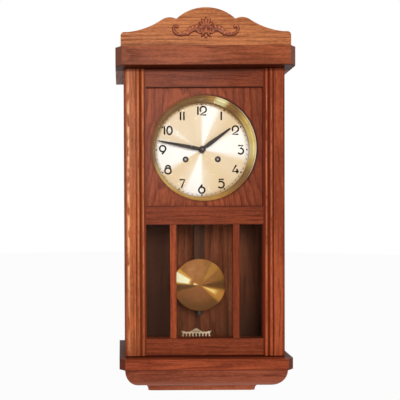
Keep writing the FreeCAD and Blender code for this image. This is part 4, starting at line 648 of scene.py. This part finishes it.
# Steel pieces: hanger, screws, click springs, hammer, gong rods, pallet anchor and suspension spring.
# Bright drawn steel, greying where it is handled least.
dress_all("steel", satin_metal("bright_steel", (176, 176, 174), (104, 102, 100), 0.32, metallic=1.0))

# Winding arbors: the steel arbors of the two barrels, with ends filed square for the key.
# They stand behind the dial's two holes and are browned by handling.
browned = satin_metal("browned_steel", (200, 190, 176), (126, 114, 100), 0.45, metallic=0.1)
for node in ("going_winding_arbor", "strike_winding_arbor"):
    dress(node, browned)

# Iron pieces: the gong block and the two brackets that carry the movement.
# Sand cast and dipped in black japan, so their skin is slightly lumpy.
dress_all("cast_iron", satin_metal("japanned_iron", (38, 36, 35), (22, 20, 20), 0.5, scratch=260.0))

# Dial: a brass disc, silvered and lacquered, held to the front plate by its feet.
# It was brushed round and round its centre; the wedges of light that fan out from the middle are painted
# reflections, and gold-tinted painted shade lies round its edge.
# Two holes give the key its way to the winding squares.
DIAL_CREAM = colour(230, 205, 164)
DIAL_HIGHLIGHT = colour(254, 252, 247)
DIAL_SPECK = colour(150, 120, 84)
DIAL_EDGE_SHADE = colour(176, 136, 78)
EDGE_REACH = (0.0845, 0.0920)
EDGE_SHADE_FAN = ((325, 66, 36, 0.70), (50, 22, 18, 0.45), (150, 24, 20, 0.35))
DIAL_REFLECTION_WEDGES = ((12, 8, 8, 0.9), (12, 18, 18, 0.25), (80, 20, 9, 1.0), (191, 9, 8, 0.9), (191, 18, 18, 0.25),
               (261, 20, 9, 1.0), (303, 3, 5, 0.40), (300, 30, 28, 0.16), (120, 12, 12, 0.12))


def brushed_silver():
    """Silver brushed in fine rings about the hand arbor, with painted reflections and shade at its edge."""
    finish = Finish("dial_silver")
    x, y, z = finish.axes()
    reach = (x * x + z * z) ** 0.5
    groove = (reach * 1400.0).wave()
    cloud = finish.noise(24.0, detail=3.0)
    speck = finish.step(finish.noise(500.0, detail=1.0), 0.66, 0.76)
    # Painted reflections: near-white wedges that fan out from the middle.
    light = (fan(finish, x, z, DIAL_REFLECTION_WEDGES) + (cloud - 0.5) * 0.14).capped()
    body = finish.blend(light, DIAL_CREAM, DIAL_HIGHLIGHT)
    body = finish.blend(speck * 0.10, body, DIAL_SPECK)
    # Painted shade towards the edge, tinted gold as by the bezel's reflection, heaviest at the top left.
    edge = finish.step(reach + (cloud - 0.5) * 0.004, *EDGE_REACH)
    body = finish.blend(edge * (fan(finish, x, z, EDGE_SHADE_FAN) + 0.25).capped(), body, DIAL_EDGE_SHADE)
    return finish.surface(
        base_color=body, roughness=groove * 0.04 + cloud * 0.10 + 0.42,
        normal=finish.bump(groove, 0.08, 0.0001), specular_ior_level=0.2)


dress("dial", brushed_silver())

# Numbers, minute marks and hour dots: black paint, printed on the dial in strokes with round ends.
# The forms are plain and round, each drawn with a few lines and arcs in a box one unit high.
STROKE = 0.094
NUMBER_HEIGHT = 0.0176
NUMBER_RADIUS = 0.0774
MINUTE_RADIUS = 0.0902
MINUTE_STROKE, HOUR_STROKE = 0.00075, 0.0015
PRINT_THICK = 0.0003
dial_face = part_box("dial")[0][1]


def arc(middle_x, middle_y, wide, high, start, end, count=18):
    """Points of part of an oval. Angles run anticlockwise from the right, in degrees."""
    turns = [math.radians(start + (end - start) * step / count) for step in range(count + 1)]
    return [(middle_x + wide * math.cos(turn), middle_y + high * math.sin(turn)) for turn in turns]


FIGURES = {
    "0": [arc(0, 0.5, 0.29, 0.45, 90, 450, 30)],
    "1": [[(0.02, 0.97), (0.02, 0.03)]],
    "2": [arc(0, 0.63, 0.34, 0.34, 222, -45, 24) + [(-0.34, 0.03), (0.32, 0.03)]],
    "3": [[(-0.28, 0.96), (0.25, 0.96), (-0.04, 0.64)] + arc(-0.01, 0.33, 0.32, 0.32, 80, -150)],
    "4": [[(0.10, 0.97), (-0.34, 0.24), (0.37, 0.24)], [(0.18, 0.54), (0.18, 0.02)]],
    "5": [[(0.27, 0.97), (-0.24, 0.97), (-0.24, 0.62)] + arc(-0.04, 0.37, 0.36, 0.36, 124, -142)],
    "6": [arc(0, 0.35, 0.34, 0.34, 130, 490, 30), [(-0.25, 0.58), (0.07, 0.98)]],
    "7": [[(-0.30, 0.95), (0.27, 0.95), (-0.10, 0.03)]],
    "8": [arc(0, 0.34, 0.35, 0.33, 90, 450, 30), arc(0, 0.71, 0.26, 0.23, -30, 210, 20)],
    "9": [arc(0, 0.65, 0.34, 0.34, 90, 450, 30), [(0.25, 0.42), (-0.07, 0.02)]],
}
FIGURE_STEP = {"0": 0.80, "1": 0.38, "2": 0.86}
USUAL_STEP = 0.62


def closed_up(work):
    """Join what lies together, drop faces without area and turn every face outwards."""
    bmesh.ops.remove_doubles(work, verts=work.verts, dist=1e-6)
    bmesh.ops.dissolve_degenerate(work, edges=work.edges, dist=1e-6)
    bmesh.ops.recalc_face_normals(work, faces=work.faces)


def add_line(curve, line, closed):
    """Add a run of straight stretches from point to point to a curve."""
    spline = curve.splines.new("POLY")
    spline.use_cyclic_u = closed
    spline.points.add(len(line) - 1)
    for point, place in zip(spline.points, line):
        point.co = (*place, 1.0)


def mesh_from_curve(curve, place, material):
    """Make a drawn curve a closed mesh, and put it in its place."""
    name = curve.name
    work = settled(in_scene(name, curve))
    bpy.data.curves.remove(curve)
    work.transform(place)
    closed_up(work)
    return piece_from(work, name, material)


def laid_strokes(name, lines, half_width, material):
    """Draw lines as round strokes, make them a mesh and press it flat on the dial's face."""
    curve = bpy.data.curves.new(name, "CURVE")
    curve.dimensions = "3D"
    curve.bevel_depth = half_width
    curve.bevel_resolution = 3
    curve.use_fill_caps = True
    for line in lines:
        closed = math.dist(line[0], line[-1]) < 1e-6
        add_line(curve, [(x, 0.0, z) for x, z in (line[:-1] if closed else line)], closed)
    flat = Matrix.Translation((0, dial_face, 0)) @ Matrix.Diagonal((1, PRINT_THICK / half_width, 1, 1))
    return mesh_from_curve(curve, flat, material)


def black_print():
    """Dull black paint, worn a little grey."""
    finish = Finish("dial_print")
    wear = finish.noise(700.0)
    body = finish.blend(finish.step(wear, 0.45, 0.75), colour(22, 16, 13), colour(44, 33, 27))
    return finish.surface(base_color=body, roughness=wear * 0.1 + 0.8, specular_ior_level=0.02,
                          normal=finish.bump(wear, 0.2, 0.0001))


dial_print = black_print()
number_lines = []
for hour in range(1, 13):
    label = str(hour)
    steps = [FIGURE_STEP.get(figure, USUAL_STEP) for figure in label]
    left = -sum(steps) / 2
    turn = math.radians(hour * 30)
    middle_x, middle_z = NUMBER_RADIUS * math.sin(turn), NUMBER_RADIUS * math.cos(turn)
    for figure, step in zip(label, steps):
        for line in FIGURES[figure]:
            number_lines.append([
                (middle_x + (left + step / 2 + x) * NUMBER_HEIGHT, middle_z + (z - 0.5) * NUMBER_HEIGHT)
                for x, z in line])
        left += step
numbers = laid_strokes("dial_numbers", number_lines, STROKE * NUMBER_HEIGHT, dial_print)


def track_marks(count, inside, outside):
    """Short strokes that point at the centre, evenly round the minute track."""
    turns = [math.tau * step / count for step in range(count)]
    return [[(reach * math.sin(turn), reach * math.cos(turn))
             for reach in (MINUTE_RADIUS - inside, MINUTE_RADIUS + outside)] for turn in turns]


minutes = laid_strokes("minute_marks", track_marks(60, 0.0008, 0.0010), MINUTE_STROKE, dial_print)
hours = laid_strokes("hour_dots", track_marks(12, 0.0018, 0.0010), HOUR_STROKE, dial_print)
for piece in (numbers, minutes, hours):
    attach(piece, "case")

# Hands: tapered steel blades with blunt ends, cut from sheet and blacked, with a boss wider than the blade.
# The bosses are pushed over the hour pipe and the cannon pinion, and a blacked nut holds them on.
HAND_BOSS, BOSS_STEPS = 0.0070, 64
HOUR_HOLE, MINUTE_HOLE = 0.0039, 0.0027
HOUR_BLADE = ((0.0045, 0.0030), (0.0120, 0.0038), (0.0200, 0.0042), (0.0350, 0.0036), (0.0700, 0.0017))
MINUTE_BLADE = ((0.0035, 0.0028), (0.0100, 0.0034), (0.0180, 0.0039), (0.0450, 0.0031), (0.0880, 0.0013))
MINUTE_TURN = math.radians(281.4)
HOUR_TURN = math.radians(30.0) + MINUTE_TURN / 12
hand_black = satin_metal("blacked_steel", (48, 36, 31), (34, 25, 21), 0.72)


def turned(made, profile, middle, steps, closed=True):
    """Turn a profile of (depth, radius) points about an axis that runs front to back through middle."""
    corners = [made.verts.new((middle[0] + radius, -depth, middle[1])) for depth, radius in profile]
    pairs = list(zip(corners, corners[1:])) + ([(corners[-1], corners[0])] if closed else [])
    edges = [made.edges.new(pair) for pair in pairs]
    bmesh.ops.spin(made, geom=corners + edges, cent=(middle[0], 0, middle[1]), axis=(0, 1, 0),
                   angle=math.tau, steps=steps, use_merge=True)
    bmesh.ops.remove_doubles(made, verts=made.verts, dist=1e-6)


def hand(name, node, body, hole, blade, turn):
    """A flat ring for the boss, and a blade grown row by row. Each row is a reach and a half width."""
    (_, front, _), (_, back, _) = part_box(node)
    made = bmesh.new()
    boss = [(-front, HAND_BOSS), (-front, hole), (-back, hole), (-back, HAND_BOSS)]
    turned(made, boss, (0.0, 0.0), BOSS_STEPS)
    reach, half = blade[0]
    last = made.edges.new([made.verts.new((side * half, front, reach)) for side in (-1, 1)])
    sheet = []
    for reach, half in blade[1:]:
        grown = bmesh.ops.extrude_edge_only(made, edges=[last])["geom"]
        ends = [item for item in grown if isinstance(item, bmesh.types.BMVert)]
        for end in ends:
            end.co = (math.copysign(half, end.co.x), front, reach)
        last = next(item for item in grown if isinstance(item, bmesh.types.BMEdge)
                    and item.verts[0] in ends and item.verts[1] in ends)
        sheet += [item for item in grown if isinstance(item, bmesh.types.BMFace)]
    bmesh.ops.solidify(made, geom=sheet, thickness=back - front)
    for corner in made.verts:
        corner.co.y = front if abs(corner.co.y - front) < 1e-6 else back
    closed_up(made)
    bmesh.ops.rotate(made, cent=(0, 0, 0), matrix=Matrix.Rotation(turn, 3, "Y"), verts=made.verts)
    piece = piece_from(made, name, hand_black)
    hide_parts(node)
    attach(piece, body)


hand("hour_blade", "hour_hand", "hour_hand", HOUR_HOLE, HOUR_BLADE, HOUR_TURN)
hand("minute_blade", "minute_hand", "minute_hand", MINUTE_HOLE, MINUTE_BLADE, MINUTE_TURN)
dress("hand_nut", hand_black)

# Rating nut: a small turned nut on the foot of the rod, under the bob, which sets the clock fast or slow.
# Brass, gone nearly black.
dress("rating_nut", satin_metal("dulled_nut", (54, 40, 31), (40, 30, 24), 0.7))

# Beat scale: a pierced arcade with horned ends and a gable, fixed to the back board under the bob.
# Stamped from sheet brass, silvered, and yellowed by the lacquer.
SCALE_EDGE = ((-0.0310, 0.0), (-0.0290, 0.0060), (-0.0304, 0.0098), (-0.0325, 0.0128), (-0.0285, 0.0112),
              (-0.0265, 0.0122), (-0.0235, 0.0104), (-0.0135, 0.0104), (-0.0110, 0.0124), (-0.0075, 0.0132),
              (-0.0055, 0.0160), (-0.0030, 0.0166), (0.0, 0.0185))
ARCHES = (-0.0246, -0.0176, -0.0106, -0.0036, 0.0036, 0.0106, 0.0176, 0.0246)
ARCH_HALF, ARCH_SPRING, ARCH_RISE = 0.0022, 0.0050, 0.0006
HOLE_WIDE, HOLE_HIGH, HOLE_STEP, HOLE_HEIGHT = 0.0018, 0.0012, 0.0050, 0.0117
(_, scale_front, scale_low), (_, scale_back, _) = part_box("beat_scale")
scale_outline = list(SCALE_EDGE) + [(-x, z) for x, z in reversed(SCALE_EDGE[:-1])]
for middle in reversed(ARCHES):
    spring = ARCH_SPRING + ARCH_RISE * (1 - abs(middle) / ARCHES[-1])
    crown = arc(middle, spring, ARCH_HALF, ARCH_HALF, 0, 180, 8)
    scale_outline += [(middle + ARCH_HALF, 0.0)] + crown + [(middle - ARCH_HALF, 0.0)]
scale_holes = [arc(side * HOLE_STEP, HOLE_HEIGHT, HOLE_WIDE, HOLE_HIGH, 0, 315, 7) for side in (-1, 0, 1)]
scale_curve = bpy.data.curves.new("beat_scale_plate", "CURVE")
scale_curve.dimensions = "2D"
scale_curve.fill_mode = "BOTH"
scale_curve.extrude = (scale_back - scale_front) / 2
for line in [scale_outline] + scale_holes:
    add_line(scale_curve, [(x, z, 0.0) for x, z in line], True)
scale_place = Matrix.Translation((0, (scale_front + scale_back) / 2, scale_low))
scale_silver = satin_metal("scale_silver", (250, 230, 194), (206, 180, 140), 0.5)
beat_plate = mesh_from_curve(scale_curve, scale_place @ Matrix.Rotation(math.pi / 2, 4, "X"), scale_silver)
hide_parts("beat_scale")
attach(beat_plate, "case")

# Bezel: spun from brass sheet over a former and lacquered, with a bevelled lip and a deep slope inside.
# It is let into the panel's hole, and the glass is bedded on a ledge of the slope.
# The spinner's tool leaves rings. Painted highlights and painted shade in wedges round it stand for the
# room's reflections in the brass.
SPUN_STEPS = 160


def spun(name, profile, middle, material, closed=True):
    """A round piece of its own, turned from a profile and shaded smooth."""
    made = bmesh.new()
    turned(made, profile, middle, SPUN_STEPS, closed)
    bmesh.ops.recalc_face_normals(made, faces=made.faces)
    soft_edges(made)
    return piece_from(made, name, material)


def spun_brass(name, middle, dull, bright, dark, dark_wedges, rows):
    """Lacquered spun brass: tool rings, painted shade in wedges, rows of painted reflections, painted glints.

    A row gives its tint, the radii between which it lies, how softly it ends there, and its wedges.
    """
    finish = Finish(name)
    dull = colour(*dull)
    x, y, z = finish.axes()
    across, up = x - middle[0], z - middle[1]
    reach = (across * across + up * up) ** 0.5
    ring = (reach * 2600.0).wave()
    cloud = finish.noise(60.0, detail=3.0)
    speck = finish.step(finish.noise(380.0, detail=1.0), 0.64, 0.76)
    body = finish.blend(finish.step(cloud, 0.35, 0.70), dull, shaded(dull, (0.80, 0.76, 0.72)))
    # Painted shade in wedges.
    body = finish.blend(fan(finish, across, up, dark_wedges).capped(), body, colour(*dark))
    # Rows of painted reflections and highlights, each tinted in wedges between two radii.
    for tint, near, far, soft, wedges in rows:
        within = finish.step(reach, near - soft, near + soft) * finish.step(reach, far + soft, far - soft)
        body = finish.blend(fan(finish, across, up, wedges).capped() * within, body, colour(*tint))
    # Painted glints in small specks.
    body = finish.blend(speck * 0.18, body, colour(*bright))
    return finish.surface(
        base_color=body, metallic=0.05, roughness=ring * 0.03 + cloud * 0.14 + 0.34,
        normal=finish.bump(ring, 0.10, 0.0001), specular_ior_level=0.12)


BEZEL_SIGHT = 0.0928
BEZEL_BEVEL = 0.0019
BEZEL_WALL = 0.0011
BEZEL_LEDGE = 0.0009
LIP_OUT, LIP_BACK = 0.0007, 0.0005
panel_front = -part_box("dial_panel")[0][1]
(_, bezel_low_y, _), (bezel_right, bezel_high_y, _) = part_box("bezel")
bezel_front, bezel_back = -bezel_low_y, -bezel_high_y
glass_back = -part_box("dial_glass")[1][1]
bezel_mouth = bezel_right - BEZEL_BEVEL
bezel_slope = (bezel_mouth - BEZEL_SIGHT) / (bezel_front - bezel_back)
ledge_radius = bezel_mouth - bezel_slope * (bezel_front - glass_back)
# Painted shade in wedges, then painted highlights, brightest near the top right, and a white line on the rim.
bezel_gold = spun_brass(
    "bezel_gold", (0.0, 0.0), (184, 142, 74), (255, 240, 180), (134, 96, 54),
    ((300, 66, 25, 1.0), (42, 10, 9, 0.8), (130, 22, 18, 0.8)), [
        ((236, 208, 126), 0.0, 0.2, 0.001, ((80, 24, 16, 1.0), (232, 14, 12, 0.5))),
        ((200, 152, 72), 0.0, 0.2, 0.001, ((182, 24, 20, 0.8), (18, 9, 6, 0.8))),
        ((255, 250, 195), 0.0, 0.2, 0.001, ((21, 5, 5, 1.0), (92, 6, 6, 0.4))),
        ((255, 252, 236), 0.1003, 0.2, 0.0006, ((82, 34, 16, 0.9),))])
bezel = spun("spun_bezel", [
    (panel_front, bezel_right), (bezel_front - LIP_BACK, bezel_mouth + LIP_OUT), (bezel_front, bezel_mouth),
    (glass_back, ledge_radius), (glass_back, ledge_radius - BEZEL_LEDGE),
    (bezel_back, BEZEL_SIGHT), (bezel_back, BEZEL_SIGHT + BEZEL_WALL), (panel_front, bezel_mouth)],
    (0.0, 0.0), bezel_gold)
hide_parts("bezel")
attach(bezel, "door")

# Cap of the hand nut: a small dome that closes the nut over the end of the arbor.
# Turned steel, blacked like the nut, and rubbed paler on top.
CAP_SHARE, CAP_RISE, CAP_SUNK = 0.72, 0.0016, 0.0002
(_, nut_low_y, _), (nut_right, _, _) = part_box("hand_nut")
nut_front, cap_radius = -nut_low_y, nut_right * CAP_SHARE
cap_profile = [(nut_front - CAP_SUNK, 0.0)]
cap_profile += [(nut_front + CAP_RISE * math.sin(turn), cap_radius * math.cos(turn))
                for turn in [math.radians(15 * step) for step in range(7)]]
rubbed_black = satin_metal("rubbed_black", (104, 88, 76), (62, 50, 43), 0.5)
nut_cap = spun("nut_cap", cap_profile, (0.0, 0.0), rubbed_black, closed=False)
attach(nut_cap, "minute_hand")

# Winding-hole rings: short blacked rings pressed into the dial, put there as painted shade inside the holes.
# Turned in one piece with a thin flange, which lies on the dial's face round the hole.
HOLE_SHADE_INNER, WINDING_HOLE, HOLE_SHADE_FLANGE = 0.0029, 0.0053, 0.0060
FLANGE_THICK = 0.0003
WINDING_PLACE = (0.032, -0.01897)
dial_back, dial_front = -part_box("dial")[1][1], -dial_face
flange_front = dial_front + FLANGE_THICK
hole_shade_profile = [(flange_front, HOLE_SHADE_FLANGE), (flange_front, HOLE_SHADE_INNER), (dial_back, HOLE_SHADE_INNER),
                  (dial_back, WINDING_HOLE), (dial_front, WINDING_HOLE), (dial_front, HOLE_SHADE_FLANGE)]
for side, name in ((-1, "left_hole_shade"), (1, "right_hole_shade")):
    hole_shade = spun(name, hole_shade_profile, (side * WINDING_PLACE[0], WINDING_PLACE[1]), hand_black)
    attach(hole_shade, "case")

# Pendulum bob: a thin brass cap spun to a shallow dome and pressed over a filled body, lacquered.
# Rings left by the tool gather the light in wedges that cross at its middle, laid on as painted highlights
# and painted shade.
# The body behind has the slot in which the rod stands.
BOB_RISE = 0.0075
BOB_CAP, BOB_SHEET, BOB_INSET = 0.0004, 0.0003, 0.0002
BOB_LIP, BOB_SKIRT = 0.0004, (0.0004, 0.0016)
DOME_STEPS = (0.02, 0.12, 0.24, 0.36, 0.48, 0.60, 0.72, 0.84, 0.94, 0.995)
(bob_left, bob_low_y, bob_bottom), (bob_right, _, bob_top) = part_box("pendulum_bob")
bob_middle = ((bob_left + bob_right) / 2, (bob_top + bob_bottom) / 2)
bob_radius = (bob_top - bob_bottom) / 2
bob_front = -bob_low_y
# Painted shade in wedges, then rows of painted highlights and reflections that cross at the middle.
bob_gold = spun_brass(
    "bob_gold", bob_middle, (160, 101, 41), (255, 236, 170), (94, 60, 28),
    ((264, 9, 7, 1.0), (88, 10, 8, 0.9)), [
        ((146, 100, 46), 0.008, 0.06, 0.006, ((24, 7, 6, 0.7), (62, 12, 10, 0.5))),
        ((186, 132, 58), 0.012, 0.06, 0.008, ((40, 8, 7, 0.7),)),
        ((140, 88, 50), 0.0, 0.06, 0.001, ((180, 46, 30, 0.8), (236, 14, 12, 0.5))),
        ((104, 68, 34), 0.036, 0.06, 0.012, ((170, 60, 30, 0.7),)),
        ((226, 168, 70), 0.020, 0.06, 0.003, ((291, 17, 4, 0.9),)),
        ((255, 250, 205), 0.023, 0.06, 0.002, ((289, 12, 2, 1.0),)),
        ((255, 232, 150), 0.003, 0.013, 0.002, ((284, 10, 6, 1.0),)),
        ((206, 142, 62), 0.002, 0.06, 0.002, ((117, 14, 6, 0.9),)),
        ((255, 222, 130), 0.002, 0.036, 0.006, ((114, 7, 4, 1.0),))])
dress("pendulum_bob", bob_gold)
top = [(bob_front + BOB_CAP, 0.0)]
dome = [(bob_front + BOB_CAP - BOB_RISE * share ** 2, bob_radius * share) for share in DOME_STEPS]
rim = [(bob_front - BOB_RISE - drop, bob_radius + BOB_LIP) for drop in BOB_SKIRT]
inner = [(depth - BOB_SHEET, radius - BOB_INSET) for depth, radius in reversed(dome)]
inner_top = [(bob_front + BOB_CAP - BOB_SHEET, 0.0)]
bob_cap = spun("bob_cap", top + dome + rim + inner + inner_top, bob_middle, bob_gold, closed=False)
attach(bob_cap, "pendulum")

# Pendulum rod: a flat lath of straight-grained wood, which hardly changes its length with the weather.
# Planed, stained nearly black, and hung from the suspension spring.
ROD_WOOD = colour(74, 46, 31)
ROD_HIGHLIGHT = (1.8, 1.8, 1.9)
SHEEN_START, SHEEN_END = (-0.0105, -0.006), (0.003, -0.004)


def rounded_sheen(finish, body, base, x, y, z):
    """The lath's front is slightly rounded, and a painted sheen lightens its left half."""
    sheen = finish.step(x, *SHEEN_START) * finish.step(x, *SHEEN_END)
    return finish.blend(sheen * 0.45, body, shaded(base, ROD_HIGHLIGHT))


board("pendulum_rod", ALONG_Z, ROD_WOOD, 50, "rod_wood", lines=0.1, gloss=0.55, coat=0.0, rub=0.0,
      stain=rounded_sheen)


# Glass of the door and of the dial: thin drawn sheet, nearly clear, with a faint film of dust.
# The dial's disc is ground round and sits in the bezel; the door's sheet lies in its rebate.
def sheet_glass(name):
    """Clear glass, a little dulled where the dust lies."""
    finish = Finish(name)
    dust = finish.noise(30.0, detail=3.0)
    return finish.surface(
        base_color=colour(40, 42, 41), roughness=finish.step(dust, 0.3, 0.8) * 0.05 + 0.02,
        alpha=finish.step(dust, 0.3, 0.9) * 0.02 + 0.02, specular_ior_level=0.2)


for node in ("lower_glass", "dial_glass"):
    dress(node, sheet_glass(node + "_sheet"))

# Studio: a pale floor under the clock, a broad lamp in front and above, and a wide fill from lower left.
# The background is white for the camera and in reflections.
FLOOR_HEIGHT, FLOOR_RADIUS = -0.62, 6.0
FLOOR_PAINT = (0.86, 0.85, 0.83, 1)
WHITE = (1, 1, 1, 1)
AMBIENT = 0.30


def seen_share(finish):
    """1 for what the camera sees straight, in a reflection or through glass, and 0 for plain light."""
    straight, mirrored, through = [finish.node("ShaderNodeLightPath", output=f"Is {ray} Ray")
                                   for ray in ("Camera", "Glossy", "Transmission")]
    return straight.raised(mirrored).raised(through)


pale_floor = Finish("pale_floor")
floor_shader = pale_floor.node("ShaderNodeMixShader", inputs={
    0: seen_share(pale_floor) * 0.96,
    1: pale_floor.node("ShaderNodeBsdfDiffuse", inputs={"Color": FLOOR_PAINT}),
    2: pale_floor.node("ShaderNodeEmission", inputs={"Color": WHITE, "Strength": 1.0})})
floor_mesh = bmesh.new()
bmesh.ops.create_circle(floor_mesh, cap_ends=True, segments=96, radius=FLOOR_RADIUS,
                        matrix=Matrix.Translation((0, 0, FLOOR_HEIGHT)))
floor = piece_from(floor_mesh, "studio_floor", pale_floor.shown(floor_shader))
sky = Finish("studio", "World")
bpy.context.scene.world = sky.shown(sky.node("ShaderNodeBackground", inputs={
    "Color": WHITE, "Strength": seen_share(sky) * (1 - AMBIENT) + AMBIENT}))


def lamp(name, place, aim, width, power, tint=(1, 1, 1)):
    """A square lamp, turned to the point that it is aimed at."""
    data = bpy.data.lights.new(name, "AREA")
    data.size = width
    data.energy = power
    data.color = tint
    made = in_scene(name, data)
    made.location = place
    made.rotation_euler = (Vector(aim) - Vector(place)).to_track_quat("-Z", "Y").to_euler()


lamp("window", (0.0, -2.7, 0.45), (0, 0, -0.05), 0.9, 44.0, (1.0, 0.98, 0.95))
lamp("room_fill", (-0.4, -2.5, -0.25), (0, 0, -0.2), 1.6, 9.0)

# Camera: level with the middle of the case and a little to its left, as the photo was taken.
# The lens is shifted, so that uprights stay upright and the front stays nearly square on.
CAMERA_PLACE = (-0.1605, -1.2747, -0.1210)
CAMERA_TURN = (0.002, -0.015, 0.005)
FOCAL_PIXELS = 588.45
IMAGE_PIXELS = 400
VIEW_CENTRE = (120.0, 220.0)
SENSOR = 36.0
camera_data = bpy.data.cameras.new("photo_camera")
camera_data.sensor_width = SENSOR
camera_data.lens = FOCAL_PIXELS * SENSOR / IMAGE_PIXELS
camera_data.shift_x = (IMAGE_PIXELS / 2 - VIEW_CENTRE[0]) / IMAGE_PIXELS
camera_data.shift_y = (VIEW_CENTRE[1] - IMAGE_PIXELS / 2) / IMAGE_PIXELS
camera = in_scene("photo_camera", camera_data)
yaw, pitch, roll = CAMERA_TURN
turn = Matrix.Rotation(yaw, 4, "Z") @ Matrix.Rotation(pitch, 4, "X") @ Matrix.Rotation(roll, 4, "Y")
camera.matrix_world = Matrix.Translation(CAMERA_PLACE) @ turn @ Matrix.Rotation(math.pi / 2, 4, "X")
bpy.context.scene.camera = camera
bpy.context.scene.view_settings.view_transform = "Standard"
